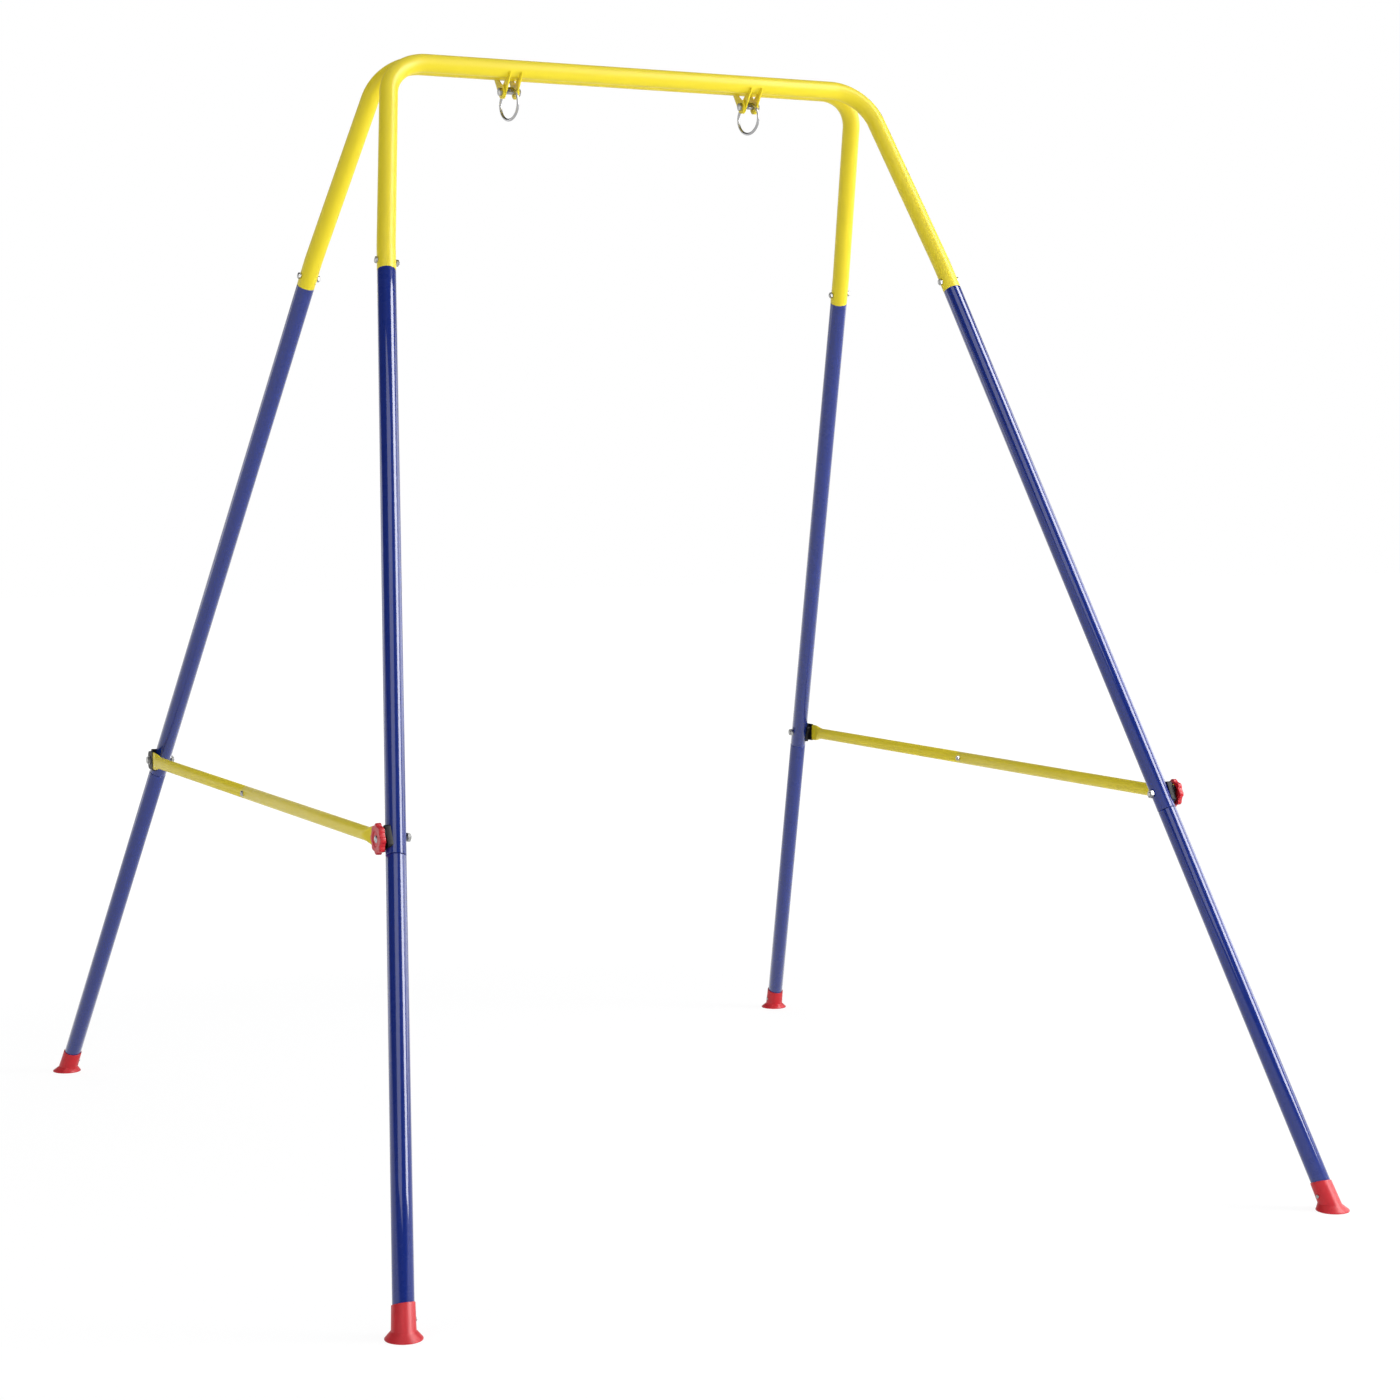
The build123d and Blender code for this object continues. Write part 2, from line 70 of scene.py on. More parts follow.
def studio_room():
    """White walls below a dim ceiling where the room is looked at, and a soft even light elsewhere."""
    room = bpy.data.worlds.new("studio_room")
    room.use_nodes = True
    nodes = room.node_tree.nodes
    links = room.node_tree.links
    nodes.clear()
    direction = nodes.new("ShaderNodeTexCoord")
    parts = nodes.new("ShaderNodeSeparateXYZ")
    height = nodes.new("ShaderNodeValToRGB")
    height.color_ramp.elements[0].position = 0.18
    height.color_ramp.elements[0].color = (1.0, 1.0, 1.0, 1.0)
    height.color_ramp.elements[1].position = 0.29
    height.color_ramp.elements[1].color = (0.07, 0.07, 0.08, 1.0)
    walls = nodes.new("ShaderNodeBackground")
    walls.inputs["Strength"].default_value = 1.0
    light = nodes.new("ShaderNodeBackground")
    light.inputs["Color"].default_value = (0.96, 0.98, 1.0, 1.0)
    light.inputs["Strength"].default_value = 0.40
    either = nodes.new("ShaderNodeMixShader")
    surface = nodes.new("ShaderNodeOutputWorld")
    links.new(direction.outputs["Generated"], parts.inputs[0])
    links.new(parts.outputs["Z"], height.inputs["Fac"])
    links.new(height.outputs["Color"], walls.inputs["Color"])
    links.new(looked_at(nodes), either.inputs["Fac"])
    links.new(light.outputs[0], either.inputs[1])
    links.new(walls.outputs[0], either.inputs[2])
    links.new(either.outputs[0], surface.inputs["Surface"])
    return room


def studio_floor():
    """White floor that glows where it is looked at, least near the frame, so its shadow still shows."""
    material = bpy.data.materials.new("studio_floor")
    material.use_nodes = True
    nodes = material.node_tree.nodes
    links = material.node_tree.links
    nodes.clear()
    place = nodes.new("ShaderNodeTexCoord")
    distance = nodes.new("ShaderNodeVectorMath")
    distance.operation = "LENGTH"
    share = nodes.new("ShaderNodeMapRange")
    share.interpolation_type = "SMOOTHSTEP"
    share.inputs["From Min"].default_value = 1.5
    share.inputs["From Max"].default_value = 3.4
    share.inputs["To Min"].default_value = 0.84
    share.inputs["To Max"].default_value = 1.0
    seen_share = nodes.new("ShaderNodeMath")
    seen_share.operation = "MULTIPLY"
    white = nodes.new("ShaderNodeBsdfDiffuse")
    white.inputs["Color"].default_value = (0.88, 0.88, 0.88, 1.0)
    glow = nodes.new("ShaderNodeEmission")
    glow.inputs["Color"].default_value = (1.0, 1.0, 1.0, 1.0)
    glow.inputs["Strength"].default_value = 1.07
    mix = nodes.new("ShaderNodeMixShader")
    surface = nodes.new("ShaderNodeOutputMaterial")
    links.new(place.outputs["Object"], distance.inputs[0])
    links.new(distance.outputs["Value"], share.inputs["Value"])
    links.new(share.outputs["Result"], seen_share.inputs[0])
    links.new(looked_at(nodes), seen_share.inputs[1])
    links.new(seen_share.outputs[0], mix.inputs["Fac"])
    links.new(white.outputs[0], mix.inputs[1])
    links.new(glow.outputs[0], mix.inputs[2])
    links.new(mix.outputs[0], surface.inputs["Surface"])
    return material


def soft_box(name, place, aim, width, height, power, roll=0.0, lines_only=False):
    """A rectangular studio lamp that faces a point, hidden from view. It either lights the frame or only
    draws lines on its glossy paint."""
    lamp = bpy.data.lights.new(name, "AREA")
    lamp.shape = "RECTANGLE"
    lamp.size = width
    lamp.size_y = height
    lamp.energy = power
    piece = bpy.data.objects.new(name, lamp)
    turn = (Vector(aim) - Vector(place)).to_track_quat("-Z", "Y").to_matrix().to_4x4()
    turn = turn @ Matrix.Rotation(math.radians(roll), 4, "Z")
    piece.location = place
    piece.rotation_euler = turn.to_euler()
    piece.visible_camera = False
    piece.visible_diffuse = not lines_only
    piece.visible_glossy = lines_only
    bpy.context.collection.objects.link(piece)


floor_half_width = 24.0
bpy.context.scene.world = studio_room()
floor_mesh = bpy.data.meshes.new("studio_floor")
bm = bmesh.new()
bmesh.ops.create_grid(bm, x_segments=1, y_segments=1, size=floor_half_width)
bm.to_mesh(floor_mesh)
bm.free()
floor_mesh.materials.append(studio_floor())
floor = bpy.data.objects.new("studio_floor", floor_mesh)
bpy.context.collection.objects.link(floor)

soft_box("key_lamp", (4.2, -2.6, 1.9), (0, 0, 1.0), 1.6, 2.4, 160.0)
soft_box("low_lamp", (1.4, -5.4, 0.45), (0, 0, 1.3), 3.2, 0.8, 90.0)
soft_box("side_lamp", (-4.6, -1.8, 2.0), (0, 0, 1.0), 1.6, 2.4, 30.0)
soft_box("top_lamp", (0.0, 0.6, 4.8), (0, 0, 1.2), 3.0, 3.0, 40.0)
soft_box("line_lamp", (4.1, -3.9, 4.4), (-0.7, -0.7, 0.7), 3.0, 6.4, 740.0, -32.0, True)
soft_box("band_lamp", (-2.9, -4.4, 5.2), (0.0, -0.7, 0.7), 4.2, 5.6, 150.0, 0.0, True)
soft_box("edge_lamp", (5.6, -0.4, 2.5), (-0.7, -0.7, 0.9), 4.4, 3.4, 130.0, 0.0, True)
soft_box("rim_lamp", (-4.2, 3.8, 1.6), (-0.7, -0.7, 0.9), 1.4, 2.6, 16.0, 0.0, True)

# Top tubes
# Two tubes of 32 mm steel with a 1.5 mm wall, each bent into a wide inverted U with a slight set above
# its mouths, and coated with glossy yellow powder. The mouths are deburred, which leaves a soft lip.
mm = 0.001
merge_distance = 2e-6
sharp_angle = math.radians(34)
tube_radius = 16.0 * mm
tube_wall = 1.5 * mm
top_axis_height = 1924.0 * mm
top_half_width = 464.7 * mm
top_tube_y = 16.8 * mm
corner_radius = 82.0 * mm
set_bend_radius = 300.0 * mm
set_bend_above_mouth = 50.0 * mm
mouth_height = 1551.0 * mm
mouth_depth = 22.0 * mm
foot_half_spread_x = 812.5 * mm
foot_half_spread_y = 1009.5 * mm
lean_y_degrees = 27.1
lean_x = math.tan(math.radians(9.85))
lean_y = math.tan(math.radians(lean_y_degrees))
leg_stretch = math.sqrt(1 + lean_x**2 + lean_y**2)
sides = {"left": -1, "right": 1}
faces = {"front": -1, "back": 1}


def noise_texture(nodes, scale, detail=2.0):
    """A noise texture of a scale and detail."""
    noise = nodes.new("ShaderNodeTexNoise")
    noise.inputs["Scale"].default_value = scale
    noise.inputs["Detail"].default_value = detail
    return noise


def powder_coat(name, colour, deep_colour, gloss, lacquer, shine):
    """Baked powder coat: a pebbled skin, a slow drift of depth, a little dust and fine rubbing."""
    material = bpy.data.materials.new(name)
    material.use_nodes = True
    nodes = material.node_tree.nodes
    links = material.node_tree.links
    paint = nodes["Principled BSDF"]
    place = nodes.new("ShaderNodeTexCoord")
    drift = noise_texture(nodes, 6.0, 3.0)
    depth = nodes.new("ShaderNodeMix")
    depth.data_type = "RGBA"
    depth.inputs["A"].default_value = deep_colour
    depth.inputs["B"].default_value = colour
    rubbing = noise_texture(nodes, 38.0, 6.0)
    rubbing.inputs["Roughness"].default_value = 0.65
    dulled = nodes.new("ShaderNodeMapRange")
    dulled.inputs["From Min"].default_value = 0.35
    dulled.inputs["From Max"].default_value = 0.70
    dulled.inputs["To Min"].default_value = gloss
    dulled.inputs["To Max"].default_value = gloss + 0.10
    pebbles = noise_texture(nodes, 340.0, 1.0)
    skin = nodes.new("ShaderNodeBump")
    skin.inputs["Strength"].default_value = 0.012
    skin.inputs["Distance"].default_value = 0.0003
    for noise in (drift, rubbing, pebbles):
        links.new(place.outputs["Object"], noise.inputs["Vector"])
    links.new(drift.outputs["Fac"], depth.inputs["Factor"])
    links.new(depth.outputs["Result"], paint.inputs["Base Color"])
    links.new(rubbing.outputs["Fac"], dulled.inputs["Value"])
    links.new(dulled.outputs["Result"], paint.inputs["Roughness"])
    links.new(pebbles.outputs["Fac"], skin.inputs["Height"])
    links.new(skin.outputs["Normal"], paint.inputs["Normal"])
    paint.inputs["Specular IOR Level"].default_value = shine
    paint.inputs["Coat Weight"].default_value = lacquer
    paint.inputs["Coat Roughness"].default_value = 0.04
    return material


def leg_point(side, face, height):
    """Point on a leg's centre line, for side -1 left or 1 right and face -1 front or 1 back."""
    x = foot_half_spread_x - lean_x * height
    y = foot_half_spread_y - lean_y * height
    return Vector((side * x, face * y, height))


def ring_edges(ring):
    """The edges that join a ring's corners to each other."""
    corners = set(ring)
    edges = {edge for corner in ring for edge in corner.link_edges if edge.other_vert(corner) in corners}
    return list(edges)


def drawn_on(bm, ring, move, grow=1.0):
    """Draws a ring of tube on by a straight step, and widens or narrows it round its middle."""
    new = bmesh.ops.extrude_edge_only(bm, edges=ring_edges(ring))["geom"]
    ring = [item for item in new if isinstance(item, bmesh.types.BMVert)]
    bmesh.ops.translate(bm, verts=ring, vec=move)
    middle = sum((corner.co for corner in ring), Vector()) / len(ring)
    bmesh.ops.scale(bm, verts=ring, vec=(grow, grow, grow), space=Matrix.Translation(-middle))
    return ring


def bent(bm, ring, centre, axis, angle, steps):
    """Draws a ring of tube round a bend."""
    geom = ring + ring_edges(ring)
    last = bmesh.ops.spin(bm, geom=geom, cent=centre, axis=axis, angle=angle, steps=steps)["geom_last"]
    return [item for item in last if isinstance(item, bmesh.types.BMVert)]


def mouth(bm, ring, outwards, radius, wall, depth):
    """Rolls a tube's open end over a soft lip and back inside."""
    edge = wall * 0.35
    size = radius
    for rise, drop in ((0.7, 0.3), (0.3, 0.7), (0.0, wall / edge - 2.0), (-0.3, 0.7), (-0.7, 0.3)):
        smaller = size - drop * edge
        ring = drawn_on(bm, ring, outwards * rise * edge, smaller / size)
        size = smaller
    return drawn_on(bm, ring, -outwards * depth)


def finished(name, bm, material, body, stands_for):
    """Turns worked material into a named piece that moves with its body in place of its plain solid."""
    bmesh.ops.remove_doubles(bm, verts=bm.verts, dist=merge_distance)
    bmesh.ops.recalc_face_normals(bm, faces=bm.faces)
    for face in bm.faces:
        face.smooth = True
    mesh = bpy.data.meshes.new(name)
    bm.to_mesh(mesh)
    bm.free()
    mesh.set_sharp_from_angle(angle=sharp_angle)
    mesh.materials.append(material)
    piece = bpy.data.objects.new(name, mesh)
    bpy.context.collection.objects.link(piece)
    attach(piece, body)
    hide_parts(stands_for)
    return piece


def top_tube_points(face):
    """Corners of a top tube's centre line, from its left mouth to its right one."""
    set_bend_height = mouth_height + set_bend_above_mouth / leg_stretch
    points = []
    for side in (-1, 1):
        corner = Vector((side * top_half_width, face * top_tube_y, top_axis_height))
        run = [leg_point(side, face, mouth_height), leg_point(side, face, set_bend_height), corner]
        points += run if side < 0 else run[::-1]
    return points


def bent_tube(points, radii):
    """A tube drawn along straight runs that are joined by round bends, closed inside its two mouths."""
    bm = bmesh.new()
    ring = bmesh.ops.create_circle(bm, segments=56, radius=tube_radius)["verts"]
    along = (points[1] - points[0]).normalized()
    turn = along.to_track_quat("Z", "Y").to_matrix().to_4x4()
    bmesh.ops.transform(bm, verts=ring, matrix=Matrix.Translation(points[0]) @ turn)
    first = ring
    here = points[0]
    for before, corner, after, radius in zip(points, points[1:], points[2:], radii):
        ahead = (corner - before).normalized()
        onward = (after - corner).normalized()
        angle = ahead.angle(onward)
        start = corner - ahead * radius * math.tan(angle / 2)
        ring = drawn_on(bm, ring, start - here)
        axis = ahead.cross(onward).normalized()
        inwards = axis.cross(ahead)
        steps = max(6, round(angle * radius / (4 * mm)))
        ring = bent(bm, ring, start + inwards * radius, axis, angle, steps)
        here = corner + onward * radius * math.tan(angle / 2)
    ring = drawn_on(bm, ring, points[-1] - here)
    mouth(bm, ring, (points[-1] - points[-2]).normalized(), tube_radius, tube_wall, mouth_depth)
    mouth(bm, first, -along, tube_radius, tube_wall, mouth_depth)
    bmesh.ops.edgeloop_fill(bm, edges=[edge for edge in bm.edges if edge.is_boundary])
    return bm


yellow = (0.86, 0.70, 0.022, 1.0)
deep_yellow = (0.82, 0.655, 0.018, 1.0)
yellow_coat = powder_coat("yellow_powder_coat", yellow, deep_yellow, 0.38, 0.04, 0.32)
bend_radii = [set_bend_radius, corner_radius, corner_radius, set_bend_radius]
for face_name, face in faces.items():
    tube = bent_tube(top_tube_points(face), bend_radii)
    body = f"{face_name}_frame"
    finished(f"top_bar_{face_name}", tube, yellow_coat, body, f"top_tube_{face_name}")

# Legs
# Each leg is two straight lengths of the same tube in glossy dark blue powder coat. A length is drawn in
# at its top end, which slides into the tube above, so only a fine dark line shows at a joint.
seam_height = 638.5 * mm
leg_end_height = 12.5 * mm / leg_stretch
spigot_radius = 14.3 * mm
upper_spigot = 40.0 * mm
lower_spigot = 60.0 * mm
joint_gap = 0.7 * mm


def leg_frame(side, face, height):
    """Place on a leg's centre line, with Z up the leg and X pointing outwards."""
    up = Vector((-side * lean_x, -face * lean_y, 1.0)).normalized()
    out = Vector((side, 0.0, 0.0))
    out = (out - up * out.dot(up)).normalized()
    turn = Matrix((out, up.cross(out), up)).transposed().to_4x4()
    return Matrix.Translation(leg_point(side, face, height)) @ turn


def turned(outline, place=None, steps=56, closed=False, bm=None):
    """Turned or drawn work: an outline of radius and height pairs spun round Z, then put in place."""
    work = bmesh.new()
    line = [work.verts.new((radius, 0.0, height)) for radius, height in outline]
    pairs = list(zip(line, line[1:])) + ([(line[-1], line[0])] if closed else [])
    edges = [work.edges.new(pair) for pair in pairs]
    middle, upwards = Vector(), Vector((0, 0, 1))
    bmesh.ops.spin(
        work, geom=line + edges, cent=middle, axis=upwards, angle=math.tau, steps=steps, use_merge=True,
    )
    bmesh.ops.remove_doubles(work, verts=work.verts, dist=merge_distance)
    bmesh.ops.transform(work, verts=work.verts, matrix=place or Matrix.Identity(4))
    return joined(bm, work)


def joined(bm, work):
    """Adds one worked shape to another."""
    if bm is None:
        return work
    bmesh.ops.recalc_face_normals(work, faces=work.faces)
    carrier = bpy.data.meshes.new("carrier")
    work.to_mesh(carrier)
    work.free()
    bm.from_mesh(carrier)
    bpy.data.meshes.remove(carrier)
    return bm


def leg_outline(length, spigot):
    """Half section of a leg tube: lip, outer wall, rolled shoulder and drawn-in top end."""
    inner = tube_radius - tube_wall
    neck = spigot_radius - tube_wall
    lip = 0.35 * mm
    roll = 0.9 * mm
    return [
        (inner, joint_gap + lip), (inner + lip * 0.3, joint_gap + lip * 0.3), (inner + lip, joint_gap),
        (tube_radius - lip, joint_gap), (tube_radius - lip * 0.3, joint_gap + lip * 0.3),
        (tube_radius, joint_gap + lip), (tube_radius, length - roll * 1.5),
        (tube_radius - roll * 0.12, length - roll * 0.9), (tube_radius - roll * 0.5, length - roll * 0.3),
        (tube_radius - roll * 1.1, length), (spigot_radius, length + lip),
        (spigot_radius, length + spigot - lip), (spigot_radius - lip, length + spigot),
        (neck, length + spigot), (neck, length), (inner, length - 8.0 * mm),
    ]


blue = (0.0065, 0.024, 0.215, 1.0)
deep_blue = (0.0055, 0.020, 0.185, 1.0)
blue_coat = powder_coat("blue_powder_coat", blue, deep_blue, 0.24, 1.0, 0.12)
upper_outline = leg_outline((mouth_height - seam_height) * leg_stretch, upper_spigot)
lower_outline = leg_outline((seam_height - leg_end_height) * leg_stretch, lower_spigot)
for face_name, face in faces.items():
    for side_name, side in sides.items():
        corner = f"{face_name}_{side_name}"
        upper = turned(upper_outline, leg_frame(side, face, seam_height), closed=True)
        lower = turned(lower_outline, leg_frame(side, face, leg_end_height), closed=True)
        body = f"{face_name}_frame"
        finished(f"leg_tube_upper_{corner}", upper, blue_coat, body, f"upper_leg_{corner}")
        finished(f"leg_tube_lower_{corner}", lower, blue_coat, body, f"lower_leg_{corner}")

# Feet
# Red plastic sleeves pushed over the legs' ends, cut a little less steeply than square at the top, with a
# level neck above a flared round base and a shallow tread ring below it.
sleeve_top_radius = 17.3 * mm
sleeve_bottom_radius = 18.2 * mm
foot_length = 50.4 * mm
foot_top_slope = math.tan(math.radians(21.3))
flare_height = 11.0 * mm
foot_rim_radius = 27.8 * mm
foot_rim_height = 2.0 * mm
foot_socket_radius = 16.15 * mm
foot_socket_depth = 20.0 * mm
foot_segments = 64


def moulded(name, colour, roughness, grain, shine):
    """Injection-moulded plastic: a fine spark-eroded grain, a slow swirl of colour and soft gloss."""
    material = bpy.data.materials.new(name)
    material.use_nodes = True
    nodes = material.node_tree.nodes
    links = material.node_tree.links
    plastic = nodes["Principled BSDF"]
    place = nodes.new("ShaderNodeTexCoord")
    swirl = noise_texture(nodes, 30.0)
    swirl.inputs["Distortion"].default_value = 1.2
    tint = nodes.new("ShaderNodeMix")
    tint.data_type = "RGBA"
    tint.inputs["A"].default_value = [channel * 0.90 for channel in colour[:3]] + [1.0]
    tint.inputs["B"].default_value = colour
    dull = nodes.new("ShaderNodeMapRange")
    dull.inputs["To Min"].default_value = roughness - 0.05
    dull.inputs["To Max"].default_value = roughness + 0.07
    fine = noise_texture(nodes, 1500.0, 2.0)
    skin = nodes.new("ShaderNodeBump")
    skin.inputs["Strength"].default_value = grain
    skin.inputs["Distance"].default_value = 0.0002
    for noise in (swirl, fine):
        links.new(place.outputs["Object"], noise.inputs["Vector"])
    links.new(swirl.outputs["Fac"], tint.inputs["Factor"])
    links.new(tint.outputs["Result"], plastic.inputs["Base Color"])
    links.new(swirl.outputs["Fac"], dull.inputs["Value"])
    links.new(dull.outputs["Result"], plastic.inputs["Roughness"])
    links.new(fine.outputs["Fac"], skin.inputs["Height"])
    links.new(skin.outputs["Normal"], plastic.inputs["Normal"])
    plastic.inputs["Specular IOR Level"].default_value = shine
    return material


def foot_ring(bm, place, radius, height):
    """A ring of the foot's skin on a place's Z axis."""
    ring = bmesh.ops.create_circle(bm, segments=foot_segments, radius=radius)["verts"]
    bmesh.ops.transform(bm, verts=ring, matrix=place @ Matrix.Translation((0, 0, height)))
    return ring


def bridged(bm, rings):
    """Skins a row of rings one after another."""
    for ring, following in zip(rings, rings[1:]):
        bmesh.ops.bridge_loops(bm, edges=ring_edges(ring) + ring_edges(following))


def sleeve_ring(bm, side, face, inwards, along, slope):
    """A ring of the sleeve where it meets a plane through the leg's axis that rises outwards in Y. A ring
    inside the socket has the socket's radius."""
    leaning = leg_frame(side, face, 0.0)
    axis = leaning.to_3x3() @ Vector((0, 0, 1))
    start = leaning.translation
    normal = Vector((0, -face * slope, 1.0))
    centre = start + axis * along
    flare_along = flare_height * leg_stretch
    taper = (sleeve_top_radius - sleeve_bottom_radius) / (foot_length - flare_along)
    ring = []
    for step in range(foot_segments):
        angle = math.tau * step / foot_segments
        spoke = leaning.to_3x3() @ Vector((math.cos(angle), math.sin(angle), 0))
        if inwards is None:
            radius, narrowing = foot_socket_radius, 0.0
        else:
            radius, narrowing = sleeve_bottom_radius - taper * flare_along - inwards, taper
        reach = (centre - start - spoke * radius).dot(normal) / (axis + spoke * narrowing).dot(normal)
        ring.append(bm.verts.new(start + axis * reach + spoke * (radius + narrowing * reach)))
    for here, following in zip(ring, ring[1:] + ring[:1]):
        bm.edges.new((here, following))
    return ring


def flared_foot(side, face):
    """One foot, from its tread over the rim and flare to its lip, and down inside the sleeve."""
    bm = bmesh.new()
    turn = Matrix.Rotation(0.0 if side > 0 else math.pi, 4, "Z")
    level = Matrix.Translation(leg_point(side, face, 0.0)) @ turn
    neck = flare_height * leg_stretch
    base = [
        foot_ring(bm, level, foot_rim_radius - 9.0 * mm, 1.2 * mm),
        foot_ring(bm, level, foot_rim_radius - 9.4 * mm, 0.0),
        foot_ring(bm, level, foot_rim_radius - 0.8 * mm, 0.0),
        foot_ring(bm, level, foot_rim_radius - 0.2 * mm, 0.3 * mm),
        foot_ring(bm, level, foot_rim_radius, 0.9 * mm),
        foot_ring(bm, level, foot_rim_radius - 0.05 * mm, foot_rim_height - 0.3 * mm),
        foot_ring(bm, level, foot_rim_radius - 0.6 * mm, foot_rim_height + 0.45 * mm),
    ]
    sleeve = [
        sleeve_ring(bm, side, face, 0.0, neck, 0.0),
        sleeve_ring(bm, side, face, 0.0, neck + 1.0 * mm, 0.0),
        sleeve_ring(bm, side, face, 0.0, foot_length - 0.9 * mm, foot_top_slope),
        sleeve_ring(bm, side, face, 0.18 * mm, foot_length - 0.25 * mm, foot_top_slope),
        sleeve_ring(bm, side, face, 0.55 * mm, foot_length, foot_top_slope),
        sleeve_ring(bm, side, face, None, foot_length, foot_top_slope),
        sleeve_ring(bm, side, face, None, foot_length - foot_socket_depth, foot_top_slope),
    ]
    bridged(bm, base + sleeve)
    bmesh.ops.edgeloop_fill(bm, edges=ring_edges(base[0]))
    bmesh.ops.edgeloop_fill(bm, edges=ring_edges(sleeve[-1]))
    return bm


red_plastic = moulded("red_moulded_plastic", (0.60, 0.013, 0.023, 1.0), 0.40, 0.05, 0.38)
for face_name, face in faces.items():
    for side_name, side in sides.items():
        corner = f"{face_name}_{side_name}"
        body = f"{face_name}_frame"
        foot = flared_foot(side, face)
        finished(f"flared_foot_{corner}", foot, red_plastic, body, f"foot_{corner}")

# Foot screws
# A small zinc-plated pan-head screw on each foot's inner side holds the plastic on the leg. A small
# round recess is pressed into its head.
foot_screw_up = 28.8 * mm
foot_screw_seat = 17.889 * mm
foot_screw_radius = 3.2 * mm
foot_screw_head = 1.8 * mm
foot_screw_recess = 1.1 * mm


def plated(name, colour, roughness, cloud):
    """Bright plating on turned or pressed steel: a faint cloud, hairline scratches and soft pits."""
    material = bpy.data.materials.new(name)
    material.use_nodes = True
    nodes = material.node_tree.nodes
    links = material.node_tree.links
    metal = nodes["Principled BSDF"]
    metal.inputs["Metallic"].default_value = 1.0
    place = nodes.new("ShaderNodeTexCoord")
    clouds = noise_texture(nodes, 160.0, 4.0)
    tint = nodes.new("ShaderNodeMix")
    tint.data_type = "RGBA"
    tint.inputs["A"].default_value = [channel * (1.0 - cloud) for channel in colour[:3]] + [1.0]
    tint.inputs["B"].default_value = colour
    drawn = nodes.new("ShaderNodeMapping")
    drawn.inputs["Scale"].default_value = (1.0, 14.0, 14.0)
    hairlines = noise_texture(nodes, 130.0, 5.0)
    dull = nodes.new("ShaderNodeMapRange")
    dull.inputs["From Min"].default_value = 0.3
    dull.inputs["From Max"].default_value = 0.7
    dull.inputs["To Min"].default_value = roughness - 0.04
    dull.inputs["To Max"].default_value = roughness + 0.10
    pits = nodes.new("ShaderNodeBump")
    pits.inputs["Strength"].default_value = 0.08
    pits.inputs["Distance"].default_value = 0.0001
    links.new(place.outputs["Object"], clouds.inputs["Vector"])
    links.new(place.outputs["Object"], drawn.inputs["Vector"])
    links.new(drawn.outputs["Vector"], hairlines.inputs["Vector"])
    links.new(clouds.outputs["Fac"], tint.inputs["Factor"])
    links.new(tint.outputs["Result"], metal.inputs["Base Color"])
    links.new(hairlines.outputs["Fac"], dull.inputs["Value"])
    links.new(dull.outputs["Result"], metal.inputs["Roughness"])
    links.new(hairlines.outputs["Fac"], pits.inputs["Height"])
    links.new(pits.outputs["Normal"], metal.inputs["Normal"])
    return material


def pan_head(place, radius, height, recess, bm):
    """A low domed head with a small recess, standing on its seat."""
    outline = [(0.0, -1.0 * mm), (radius * 0.9, -1.0 * mm), (radius * 0.9, 0.0), (radius, 0.1 * mm)]
    for step in range(7):
        angle = math.radians(90 * step / 6)
        reach = radius * (0.45 + 0.55 * math.cos(angle))
        outline.append((reach, height * (0.35 + 0.65 * math.sin(angle))))
    outline += [(recess, height * 0.97), (recess * 0.8, height * 0.55), (0.0, height * 0.45)]
    return joined(bm, placed(turned(outline, steps=32), place))


def placed(bm, place):
    """Moves worked material to its place."""
    bmesh.ops.transform(bm, verts=bm.verts, matrix=place)
    return bm


zinc = plated("zinc_plating", (0.42, 0.42, 0.41, 1.0), 0.30, 0.20)
for face_name, face in faces.items():
    screws = bmesh.new()
    for side in (-1, 1):
        inwards = Matrix.Rotation(math.radians(-90), 4, "Y")
        seat = Matrix.Translation((-foot_screw_seat, 0, foot_screw_up)) @ inwards
        place = leg_frame(side, face, 0.0) @ seat
        pan_head(place, foot_screw_radius, foot_screw_head, foot_screw_recess, screws)
    body = f"{face_name}_frame"
    finished(f"foot_screw_pair_{face_name}", screws, zinc, body, f"foot_screws_{face_name}")

# Joint bolts and nuts
# An M6 hexagon bolt goes through each top tube and the leg inside it, with its nut on the inner side. The
# heads and nuts are chamfered by a turned cone, and the bolt's end shows a little thread.
joint_bolt_radius = 3.0 * mm
joint_across_flats = 10.0 * mm
joint_head_height = 4.0 * mm
joint_nut_height = 4.8 * mm
joint_bolt_up = 17.5 * mm
joint_pitch = 1.0 * mm
nut_gap = 0.05 * mm
crown_share = 0.475
bolt_tip = 1.5 * mm


def hexagon_cut(work, across_flats):
    """Mills six flats on turned work that stands on its Z axis."""
    for flat in range(6):
        angle = math.radians(60 * flat)
        outwards = Vector((math.cos(angle), math.sin(angle), 0.0))
        flat_middle = outwards * across_flats / 2
        geom = work.verts[:] + work.edges[:] + work.faces[:]
        cut = bmesh.ops.bisect_plane(
            work, geom=geom, plane_co=flat_middle, plane_no=outwards, clear_outer=True,
        )
        edges = [item for item in cut["geom_cut"] if isinstance(item, bmesh.types.BMEdge)]
        bmesh.ops.edgeloop_fill(work, edges=edges)
    return work


